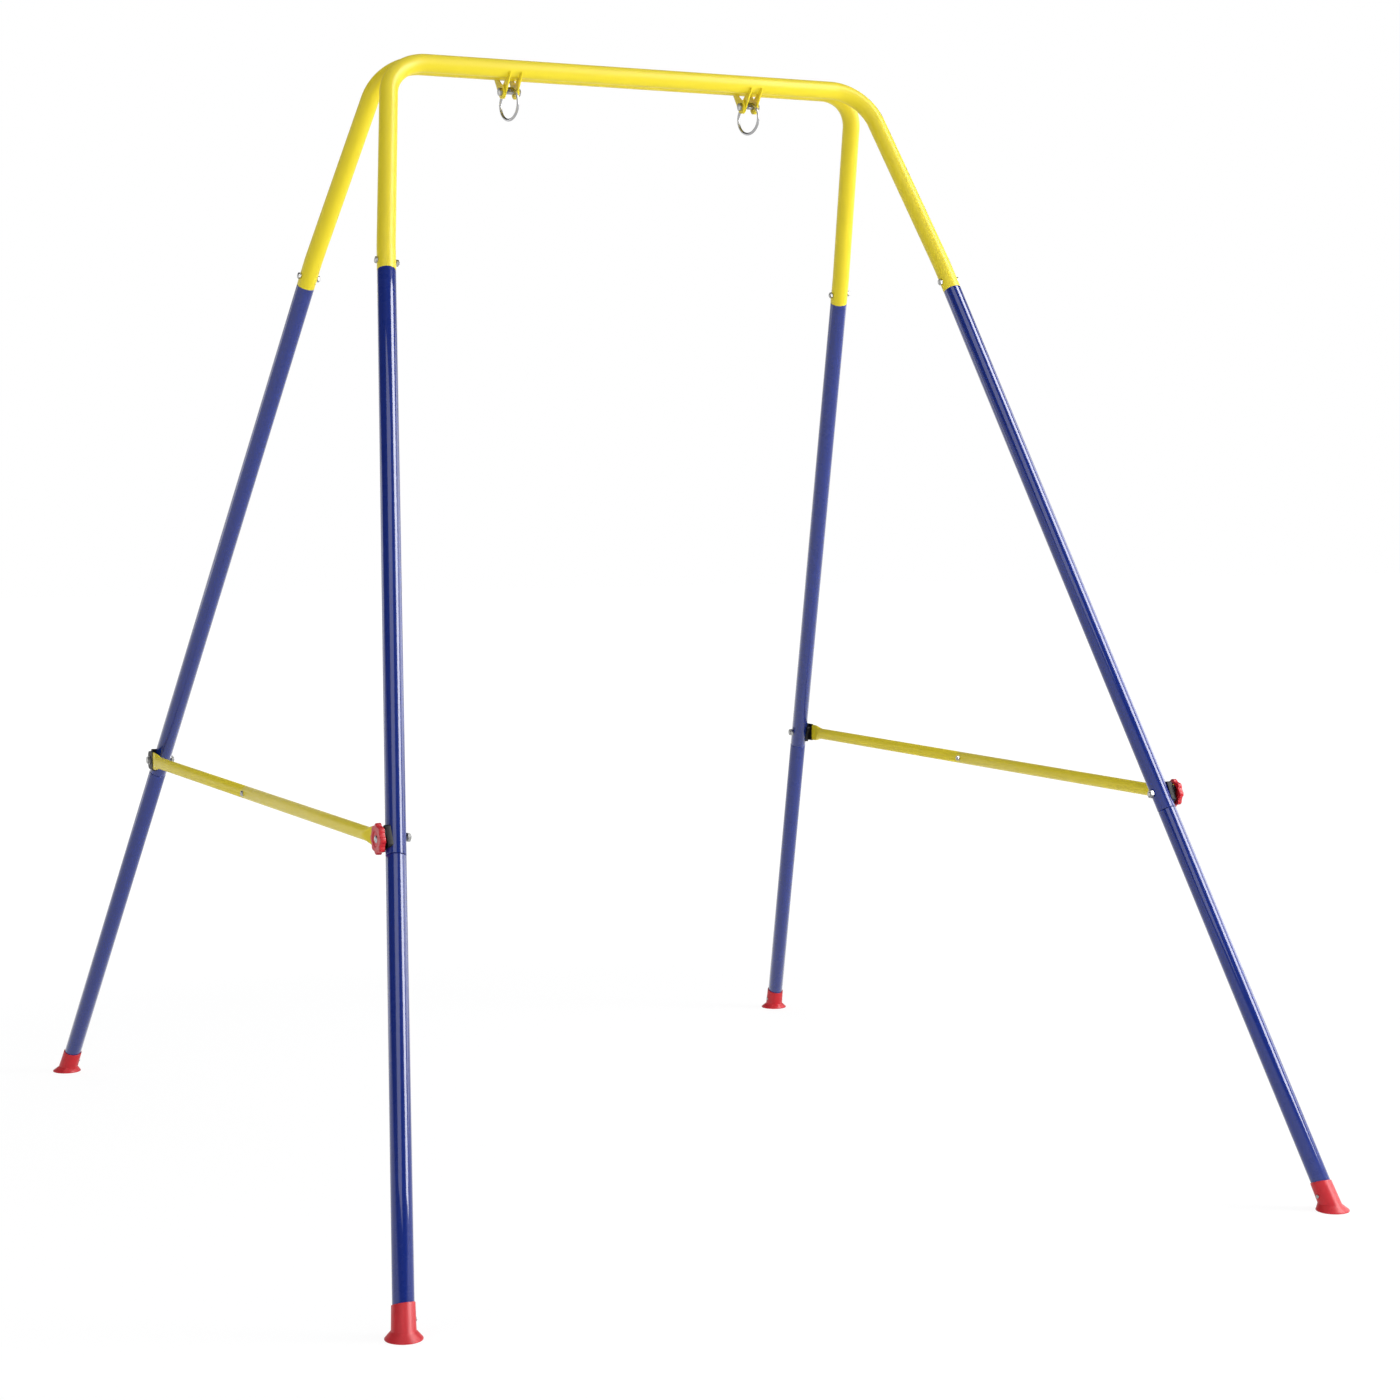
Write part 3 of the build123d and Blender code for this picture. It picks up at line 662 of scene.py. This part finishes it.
def hex_head(place, across_flats, height, bm, flange=0.0):
    """A hexagon bolt head with a coned crown, and a round flange if it has one."""
    corner = across_flats / math.sqrt(3)
    crown = across_flats * crown_share
    rise = (corner - crown) * math.tan(math.radians(30))
    stock = corner * 1.01
    outline = [(0.0, 0.0), (stock, 0.0), (stock, height - rise), (crown, height), (0.0, height)]
    bm = joined(bm, placed(hexagon_cut(turned(outline, steps=48), across_flats), place))
    if flange:
        rim = [
            (0.0, 0.0), (flange - 0.3 * mm, 0.0), (flange, 0.3 * mm), (flange, 0.8 * mm),
            (flange - 0.4 * mm, 1.2 * mm), (across_flats * 0.5, 1.8 * mm), (0.0, 1.8 * mm),
        ]
        turned(rim, place, 48, bm=bm)
    return bm


def hex_nut(place, across_flats, bore, height, bm):
    """A hexagon nut, coned at both faces, with a countersunk bore."""
    corner = across_flats / math.sqrt(3)
    crown = across_flats * crown_share
    rise = (corner - crown) * math.tan(math.radians(30))
    sink = bore * 0.16
    outline = [
        (bore, sink), (bore + sink, 0.0), (crown, 0.0), (corner * 1.01, rise),
        (corner * 1.01, height - rise), (crown, height), (bore + sink, height), (bore, height - sink),
    ]
    return joined(bm, placed(hexagon_cut(turned(outline, steps=48, closed=True), across_flats), place))


def thread_end(place, radius, start, end, pitch, bm):
    """The end of a threaded shank from below its nut to its chamfered tip."""
    root = radius * 0.86
    crest = radius * 0.97
    outline = [(0.0, start), (crest, start)]
    turns = int((end - start) / pitch)
    for turn in range(turns):
        base = start + turn * pitch
        outline += [(crest, base + 0.15 * pitch), (root, base + 0.5 * pitch), (crest, base + 0.85 * pitch)]
    outline += [(crest, end - 0.6 * mm), (root, end), (0.0, end)]
    return turned(outline, place, 32, bm=bm)


def joint_bolt_place(side, face):
    """Line of a joint's bolt, with Z outwards along it."""
    up = Matrix.Translation((0, 0, joint_bolt_up)) @ Matrix.Rotation(math.radians(90), 4, "Y")
    return leg_frame(side, face, mouth_height) @ up


for face_name, face in faces.items():
    bolts = bmesh.new()
    nuts = bmesh.new()
    for side in (-1, 1):
        line = joint_bolt_place(side, face)
        outside = line @ Matrix.Translation((0, 0, tube_radius))
        hex_head(outside, joint_across_flats, joint_head_height, bolts)
        inside = line @ Matrix.Translation((0, 0, -tube_radius)) @ Matrix.Rotation(math.pi, 4, "X")
        thread_end(inside, joint_bolt_radius, -4.0 * mm, joint_nut_height + bolt_tip, joint_pitch, bolts)
        hex_nut(inside, joint_across_flats, joint_bolt_radius + nut_gap, joint_nut_height, nuts)
    body = f"{face_name}_frame"
    finished(f"joint_bolt_pair_{face_name}", bolts, zinc, body, f"joint_bolts_{face_name}")
    finished(f"joint_nut_pair_{face_name}", nuts, zinc, body, f"joint_nuts_{face_name}")

# Hangers
# Each hanger is four pressed steel straps, two welded to the front tube and two to the back one, coated
# yellow with them. Their edges are tumbled round, and a weld bead runs along both sides of each.
hinge_height = 1886.0 * mm
hanger_half_spacing = 236.0 * mm
strap_thickness = 2.5 * mm
strap_gap = 0.3 * mm
hanger_inner_gap = 19.2 * mm
strap_edge = 0.45 * mm
bead_radius = 1.3 * mm


def softened(node, edge, least_angle=38.0):
    """A piece in its solid's own shape, with its sharp edges rounded as pressing or moulding leaves them."""
    bm = bmesh.new()
    bm.from_mesh(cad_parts[node].data)
    bmesh.ops.remove_doubles(bm, verts=bm.verts, dist=merge_distance)
    limit = math.radians(0.5)
    bmesh.ops.dissolve_limit(bm, angle_limit=limit, verts=bm.verts, edges=bm.edges)
    least = math.radians(least_angle)
    sharp = [item for item in bm.edges if item.is_manifold and item.calc_face_angle(0.0) > least]
    bmesh.ops.bevel(
        bm, geom=sharp, offset=edge, segments=3, profile=0.5, affect="EDGES", material=-1, clamp_overlap=True,
    )
    return bm


def weld_bead(bm, x, face):
    """A bead of weld round the outer side of a top tube, where a strap's face meets it."""
    tube_middle = Vector((x, face * top_tube_y, top_axis_height))
    first = math.radians(-84.0)
    sweep = math.radians(-66.0)
    ring = bmesh.ops.create_circle(bm, cap_ends=True, segments=10, radius=bead_radius)["verts"]
    start = tube_middle + Vector((0, -face * math.cos(first), math.sin(first))) * tube_radius
    level = Vector((0, -face * math.sin(first), -math.cos(first)))
    turn = level.to_track_quat("Z", "X").to_matrix().to_4x4()
    bmesh.ops.transform(bm, verts=ring, matrix=Matrix.Translation(start) @ turn)
    cap = [item for item in bm.faces if set(item.verts) == set(ring)]
    geom = ring + ring_edges(ring) + cap
    bmesh.ops.spin(bm, geom=geom, cent=tube_middle, axis=(-face, 0, 0), angle=sweep, steps=20)


for face_name, face in faces.items():
    for side_name, side in sides.items():
        corner = f"{face_name}_{side_name}"
        straps = softened(f"hanger_straps_{corner}", strap_edge)
        inner_face = hanger_inner_gap / 2 + (strap_thickness + strap_gap if face > 0 else 0.0)
        for ear in (-1, 1):
            for edge in (0.0, strap_thickness):
                x = side * hanger_half_spacing + ear * (inner_face + edge)
                weld_bead(straps, x, face)
        body = f"{face_name}_frame"
        finished(f"strap_pair_{corner}", straps, yellow_coat, body, f"hanger_straps_{corner}")

# Hinge bolts
# An M8 bolt and nut through each hanger's four eyes. The frame folds on them and the rings hang from them.
bolt_radius = 4.0 * mm
bolt_across_flats = 13.0 * mm
bolt_head_height = 5.2 * mm
nut_height = 5.0 * mm
bolt_pitch = 1.25 * mm
hanger_half_width = hanger_inner_gap / 2 + 2 * strap_thickness + strap_gap

for side_name, side in sides.items():
    middle = Vector((side * hanger_half_spacing, 0, hinge_height))
    aside = Vector((hanger_half_width, 0, 0))
    left = Matrix.Translation(middle - aside) @ Matrix.Rotation(math.radians(-90), 4, "Y")
    right = Matrix.Translation(middle + aside) @ Matrix.Rotation(math.radians(90), 4, "Y")
    bolt = hex_head(left, bolt_across_flats, bolt_head_height, None)
    far_end = -2 * hanger_half_width
    shank = [(0.0, 0.0), (bolt_radius, 0.0), (bolt_radius, far_end), (0.0, far_end)]
    turned(shank, left, 40, bm=bolt)
    thread_end(right, bolt_radius, -2.0 * mm, nut_height + bolt_tip, bolt_pitch, bolt)
    finished(f"hinge_bolt_{side_name}", bolt, zinc, "back_frame", f"hanger_bolt_{side_name}")
    nut = hex_nut(right, bolt_across_flats, bolt_radius + nut_gap, nut_height, None)
    finished(f"hinge_nut_{side_name}", nut, zinc, "back_frame", f"hanger_nut_{side_name}")

# Swing rings
# Rings of 5 mm bright plated wire, butt welded and ground nearly flush, which leaves a slight swelling.
ring_inner_radius = 25.0 * mm
ring_wire_radius = 2.5 * mm
ring_seat_gap = 0.2 * mm
ring_turns = {"left": 12.0, "right": 14.5}
bright = plated("bright_plating", (0.44, 0.44, 0.45, 1.0), 0.24, 0.16)


def wire_ring():
    """A round wire bent round Z into a ring, a little swollen at its weld."""
    bm = bmesh.new()
    wire = bmesh.ops.create_circle(bm, segments=28, radius=ring_wire_radius)["verts"]
    line = ring_inner_radius + ring_wire_radius
    stand = Matrix.Translation((line, 0, 0)) @ Matrix.Rotation(math.radians(90), 4, "X")
    bmesh.ops.transform(bm, verts=wire, matrix=stand)
    geom = wire + ring_edges(wire)
    bmesh.ops.spin(bm, geom=geom, cent=(0, 0, 0), axis=(0, 0, 1), angle=math.tau, steps=120, use_merge=True)
    bmesh.ops.remove_doubles(bm, verts=bm.verts, dist=merge_distance)
    weld = Vector((0.0, line, 0.0))
    near = [corner for corner in bm.verts if (corner.co - weld).length < 1.16 * ring_wire_radius]
    bmesh.ops.scale(bm, verts=near, vec=(1.0, 1.035, 1.035), space=Matrix.Translation(-weld))
    return bm


for side_name, side in sides.items():
    height = hinge_height + bolt_radius + ring_seat_gap - ring_inner_radius
    upright = Matrix.Rotation(math.radians(90), 4, "Y")
    turn = Matrix.Rotation(math.radians(ring_turns[side_name]), 4, "Z") @ upright
    place = Matrix.Translation((side * hanger_half_spacing, 0, height)) @ turn
    ring = placed(wire_ring(), place)
    finished(f"wire_ring_{side_name}", ring, bright, f"ring_{side_name}", f"ring_{side_name}")

# Crossbars
# Each crossbar is two lengths of 22 mm tube, coated yellow, that slide together and are held by a bolt.
# The outer ends are pressed flat, so the tube widens smoothly from round to a tall thin blade.
crossbar_height = 664.8 * mm
bolt_leg_x = foot_half_spread_x - lean_x * crossbar_height
bolt_leg_y = foot_half_spread_y - lean_y * crossbar_height
bar_offset = 21.5 * mm
bar_radius = 11.0 * mm
bar_wall = 1.2 * mm
flat_length = 32.0 * mm
flat_past_bolt = 8.0 * mm
flare_to_round = 34.0 * mm
splice_seam_y = 35.0 * mm
splice_overlap = 50.0 * mm
splice_seam_gap = 0.7 * mm
bar_mouth_depth = 12.0 * mm
slot_width = 8.6 * mm
slot_reach = 44.0 * mm
fold_degrees = 54
slot_run = bolt_leg_y * (1 + 2 * (90 - lean_y_degrees) / fold_degrees)
slot_lean = math.atan2(hinge_height - crossbar_height, slot_run)


def pressed_ring(bm, half_thickness, y):
    """A ring of the crossbar's tube pressed to a thickness, its length round kept."""
    perimeter = math.pi * (2 * bar_radius - bar_wall) + 2 * bar_wall
    spread = max((perimeter - math.tau * half_thickness) / 4, 0.0)
    ring = bmesh.ops.create_circle(bm, segments=60, radius=half_thickness)["verts"]
    turn = Matrix.Rotation(math.radians(90), 4, "X") @ Matrix.Rotation(math.radians(3), 4, "Z")
    bmesh.ops.transform(bm, verts=ring, matrix=turn)
    upper = [corner for corner in ring if corner.co.z > 0]
    lower = [corner for corner in ring if corner.co.z < 0]
    bmesh.ops.translate(bm, verts=upper, vec=(0, 0, spread))
    bmesh.ops.translate(bm, verts=lower, vec=(0, 0, -spread))
    bmesh.ops.translate(bm, verts=ring, vec=(0, y, 0))
    return ring


def pressed_tube(face, inner_end):
    """Half a crossbar on the Y axis, from its blade's tip to its mouth or shoulder."""
    bm = bmesh.new()
    half_flat = bar_wall
    rings = [pressed_ring(bm, half_flat * 0.5, face * (bolt_leg_y + flat_past_bolt))]
    rings.append(pressed_ring(bm, half_flat, face * (bolt_leg_y + flat_past_bolt - 0.6 * mm)))
    steps = 14
    for step in range(steps + 1):
        share = step / steps
        rise = share * share * (3 - 2 * share)
        half = half_flat + (bar_radius - half_flat) * rise
        rings.append(pressed_ring(bm, half, face * (bolt_leg_y - flat_length - flare_to_round * share)))
    rings.append(pressed_ring(bm, bar_radius, inner_end))
    bridged(bm, rings)
    bmesh.ops.edgeloop_fill(bm, edges=ring_edges(rings[0]))
    return bm, rings[-1]


def slotted(piece, side):
    """Mills the open slot for the knob's bolt through a crossbar's front blade."""
    cutter = bmesh.new()
    rod = Matrix.Rotation(math.radians(90), 4, "Y")
    round_end = slot_width / 2
    bmesh.ops.create_cone(
        cutter, cap_ends=True, segments=40, radius1=round_end, radius2=round_end, depth=30.0 * mm, matrix=rod,
    )
    geom = cutter.verts[:] + cutter.edges[:] + cutter.faces[:]
    half = bmesh.ops.bisect_plane(
        cutter, geom=geom, plane_co=(0, 0, 0), plane_no=(0, 0, -1), clear_outer=True,
    )
    rim = [item for item in half["geom_cut"] if isinstance(item, bmesh.types.BMEdge)]
    base = bmesh.ops.edgeloop_fill(cutter, edges=rim)["faces"]
    drawn = bmesh.ops.extrude_face_region(cutter, geom=base)["geom"]
    lower_end = [item for item in drawn if isinstance(item, bmesh.types.BMVert)]
    bmesh.ops.translate(cutter, verts=lower_end, vec=(0, 0, -slot_reach))
    bmesh.ops.delete(cutter, geom=base, context="FACES_ONLY")
    middle = Matrix.Translation((side * (bolt_leg_x + bar_offset), -bolt_leg_y, crossbar_height))
    placed(cutter, middle @ Matrix.Rotation(slot_lean, 4, "X"))
    bmesh.ops.recalc_face_normals(cutter, faces=cutter.faces)
    mesh = bpy.data.meshes.new("slot_cutter")
    cutter.to_mesh(mesh)
    cutter.free()
    mill = bpy.data.objects.new("slot_cutter", mesh)
    bpy.context.collection.objects.link(mill)
    cut = piece.modifiers.new("slot", "BOOLEAN")
    cut.operation = "DIFFERENCE"
    cut.solver = "EXACT"
    cut.object = mill
    scene_now = bpy.context.evaluated_depsgraph_get()
    worked = bpy.data.meshes.new_from_object(piece.evaluated_get(scene_now))
    piece.modifiers.remove(cut)
    bpy.data.objects.remove(mill)
    piece.data = worked


spigot_steps = (
    (0.25, 11.0, 10.85), (0.35, 10.85, 10.5), (0.1, 10.5, 9.6), (splice_overlap / mm - 1.0, 9.6, 9.6),
    (0.5, 9.6, 9.2),
)
for side_name, side in sides.items():
    place = Matrix.Translation((side * (bolt_leg_x + bar_offset), 0, crossbar_height))
    body = f"crossbar_{side_name}"
    front, end = pressed_tube(-1, splice_seam_y)
    mouth(front, end, Vector((0, 1, 0)), bar_radius, bar_wall, bar_mouth_depth)
    back_end = [item for item in front.edges if item.is_boundary]
    bmesh.ops.edgeloop_fill(front, edges=back_end)
    placed(front, place)
    bar = finished(
        f"bar_front_{side_name}", front, yellow_coat, body, f"crossbar_front_{side_name}",
    )
    slotted(bar, side)
    rear, end = pressed_tube(1, splice_seam_y + splice_seam_gap)
    for step, size, following in spigot_steps:
        end = drawn_on(rear, end, Vector((0, -step * mm, 0)), following / size)
    bmesh.ops.edgeloop_fill(rear, edges=ring_edges(end))
    placed(rear, place)
    finished(f"bar_rear_{side_name}", rear, yellow_coat, body, f"crossbar_rear_{side_name}")

# Splice bolts
# A small round-headed bolt and a nut hold a crossbar's two lengths together near its middle.
splice_bolt_y = 23.0 * mm
splice_head_radius = 5.0 * mm
splice_head_height = 3.0 * mm
splice_across_flats = 8.0 * mm
splice_nut_height = 4.0 * mm
splice_bolt_radius = 2.5 * mm
splice_recess = 1.8 * mm
splice_pitch = 0.8 * mm


def outwards_at(side, x, y, z):
    """Place whose Z points outwards along X, away from the middle of the frame."""
    return Matrix.Translation((side * x, y, z)) @ Matrix.Rotation(math.radians(90 * side), 4, "Y")


def inwards_at(side, x, y, z):
    """Place whose Z points inwards along X, towards the middle of the frame."""
    return outwards_at(side, x, y, z) @ Matrix.Rotation(math.pi, 4, "X")


for side_name, side in sides.items():
    head_place = outwards_at(side, bolt_leg_x + bar_offset + bar_radius, splice_bolt_y, crossbar_height)
    body = f"crossbar_{side_name}"
    bolt = pan_head(head_place, splice_head_radius, splice_head_height, splice_recess, None)
    inside = inwards_at(side, bolt_leg_x + bar_offset - bar_radius, splice_bolt_y, crossbar_height)
    thread_end(inside, splice_bolt_radius, -2.0 * mm, splice_nut_height + bolt_tip, splice_pitch, bolt)
    finished(f"splice_screw_{side_name}", bolt, zinc, body, f"splice_bolt_{side_name}")
    nut = hex_nut(inside, splice_across_flats, splice_bolt_radius + nut_gap, splice_nut_height, None)
    finished(f"splice_hexagon_{side_name}", nut, zinc, body, f"splice_nut_{side_name}")

# Saddles and end caps
# Black plastic pieces where a crossbar meets a leg: a saddle that hugs the round leg and gives the bar a
# flat seat, and a cap over the bar's thin blade. Their mould edges are softly rounded.
black_plastic = moulded("black_moulded_plastic", (0.006, 0.006, 0.007, 1.0), 0.46, 0.10, 0.22)
for face_name, face in faces.items():
    for side_name, side in sides.items():
        corner = f"{face_name}_{side_name}"
        hug = softened(f"saddle_{corner}", 0.6 * mm)
        body = f"{face_name}_frame"
        finished(f"leg_saddle_{corner}", hug, black_plastic, body, f"saddle_{corner}")
        cap = softened(f"end_cap_{corner}", 0.4 * mm)
        body = f"crossbar_{side_name}"
        finished(f"blade_cap_{corner}", cap, black_plastic, body, f"end_cap_{corner}")

# Pivot bolts and inner nuts
# Flanged M8 bolts that the crossbars' back ends turn on, and the nuts on the inner side of all four legs.
clamp_face = 24.0 * mm
flange_radius = 8.5 * mm
inner_nut_seat = tube_radius * math.hypot(1, lean_x) + bolt_across_flats / math.sqrt(3) * lean_x

for side_name, side in sides.items():
    head_place = outwards_at(side, bolt_leg_x + clamp_face, bolt_leg_y, crossbar_height)
    inside = inwards_at(side, bolt_leg_x - inner_nut_seat, bolt_leg_y, crossbar_height)
    bolt = hex_head(head_place, bolt_across_flats, bolt_head_height, None, flange_radius)
    thread_end(inside, bolt_radius, -6.0 * mm, nut_height + bolt_tip, bolt_pitch, bolt)
    finished(f"flange_bolt_{side_name}", bolt, zinc, "back_frame", f"pivot_bolt_{side_name}")
    nut = hex_nut(inside, bolt_across_flats, bolt_radius + nut_gap, nut_height, None)
    finished(f"back_leg_nut_{side_name}", nut, zinc, "back_frame", f"pivot_nut_{side_name}")
    inside = inwards_at(side, bolt_leg_x - inner_nut_seat, -bolt_leg_y, crossbar_height)
    nut = hex_nut(inside, bolt_across_flats, bolt_radius + 0.1 * mm, nut_height, None)
    finished(f"front_leg_nut_{side_name}", nut, zinc, "front_frame", f"knob_nut_{side_name}")

# Knobs
# Red plastic hand knobs with eight round lobes, hollow behind round a hub, on a dome-headed bright bolt
# that turns with them.
lobe_count = 8
lobe_middle = 18.0 * mm
core_radius = 21.5 * mm
lobe_radius = 6.2 * mm
knob_height = 8.5 * mm
knob_edge = 1.9 * mm
dish_radius = 13.0 * mm
dish_depth = 1.0 * mm
hub_radius = 9.0 * mm
hollow_radius = 17.0 * mm
hollow_depth = 4.5 * mm
dome_radius = 6.3 * mm
dome_height = 2.6 * mm
shank_length = 30.0 * mm


def lobed_outline(bm):
    """The knob's outline at height 0: one lobe and valley, repeated round the middle."""
    reach = (lobe_middle**2 + core_radius**2 - lobe_radius**2) / (2 * lobe_middle * core_radius)
    meet = math.acos(reach)
    first = Matrix.Rotation(-meet, 3, "Z") @ Vector((core_radius, 0, 0))
    spread = 2 * math.atan2(-first.y, first.x - lobe_middle)
    start = bm.verts.new(first)
    centre = (lobe_middle, 0, 0)
    round_lobe = bmesh.ops.spin(bm, geom=[start], cent=centre, axis=(0, 0, 1), angle=spread, steps=12)
    valley = math.tau / lobe_count - 2 * meet
    lobe_end = round_lobe["geom_last"]
    bmesh.ops.spin(bm, geom=lobe_end, cent=(0, 0, 0), axis=(0, 0, 1), angle=valley, steps=5)
    arc = bm.verts[:] + bm.edges[:]
    bmesh.ops.spin(
        bm, geom=arc, cent=(0, 0, 0), axis=(0, 0, 1), angle=math.tau, steps=lobe_count, use_duplicate=True,
    )
    bmesh.ops.remove_doubles(bm, verts=bm.verts, dist=20e-6)
    return bm.verts[:]


def lobed_knob():
    """The knob's shell: lobed wall, rounded brim, shallow dish, bore, hub and hollow back."""
    bm = bmesh.new()
    brim = lobed_outline(bm)
    rings = [brim]
    for rise, shrink in ((0.5 * mm, 1.010), (knob_height - 0.5 * mm - knob_edge, 1.0)):
        brim = drawn_on(bm, brim, Vector((0, 0, rise)), shrink if rise < mm else 1.0 / 1.010)
        rings.append(brim)
    for step in range(1, 6):
        angle = math.radians(90 * step / 5)
        before = math.radians(90 * (step - 1) / 5)
        rise = knob_edge * (math.sin(angle) - math.sin(before))
        reach = core_radius - knob_edge * (1 - math.cos(angle))
        reach_before = core_radius - knob_edge * (1 - math.cos(before))
        brim = drawn_on(bm, brim, Vector((0, 0, rise)), reach / reach_before)
    bore = bolt_radius + nut_gap
    hollow = [
        (dish_radius, knob_height), (dish_radius - 0.3 * mm, knob_height - 0.2 * mm),
        (dish_radius - 0.8 * mm, knob_height - dish_depth), (bore, knob_height - dish_depth),
        (bore, 0.0), (hub_radius - 0.5 * mm, 0.0), (hub_radius, 0.5 * mm),
        (hub_radius + 0.3 * mm, hollow_depth), (hollow_radius - 0.4 * mm, hollow_depth), (hollow_radius, 0.0),
    ]
    turned(hollow, bm=bm, steps=64)
    bmesh.ops.remove_doubles(bm, verts=bm.verts, dist=merge_distance)
    open_edges = [item for item in bm.edges if item.is_boundary]
    for low, high in ((-mm, mm), (knob_height - mm, knob_height + mm)):
        pair = [item for item in open_edges if low < item.verts[0].co.z < high]
        bmesh.ops.bridge_loops(bm, edges=pair)
    return bm


def dome_outline():
    """Half section of the bolt's dome and the shank below it."""
    curve = (dome_radius**2 + dome_height**2) / (2 * dome_height)
    widest = math.asin(dome_radius / curve)
    outline = [
        (0.0, -shank_length), (bolt_radius, -shank_length), (bolt_radius, 0.0), (dome_radius - 0.2 * mm, 0.0),
    ]
    for step in range(10):
        angle = widest * (1 - step / 9) * 0.985
        outline.append((curve * math.sin(angle), dome_height - curve * (1 - math.cos(angle))))
    return outline


for side_name, side in sides.items():
    place = outwards_at(side, bolt_leg_x + clamp_face, -bolt_leg_y, crossbar_height)
    body = f"knob_{side_name}"
    knob = placed(lobed_knob(), place)
    finished(f"lobed_knob_{side_name}", knob, red_plastic, body, f"knob_{side_name}")
    seat = place @ Matrix.Translation((0, 0, knob_height - dish_depth))
    bolt = turned(dome_outline(), seat, 48)
    inside = inwards_at(side, bolt_leg_x - inner_nut_seat, -bolt_leg_y, crossbar_height)
    thread_end(inside, bolt_radius, -6.0 * mm, nut_height + bolt_tip, bolt_pitch, bolt)
    finished(f"dome_bolt_{side_name}", bolt, bright, body, f"knob_bolt_{side_name}")
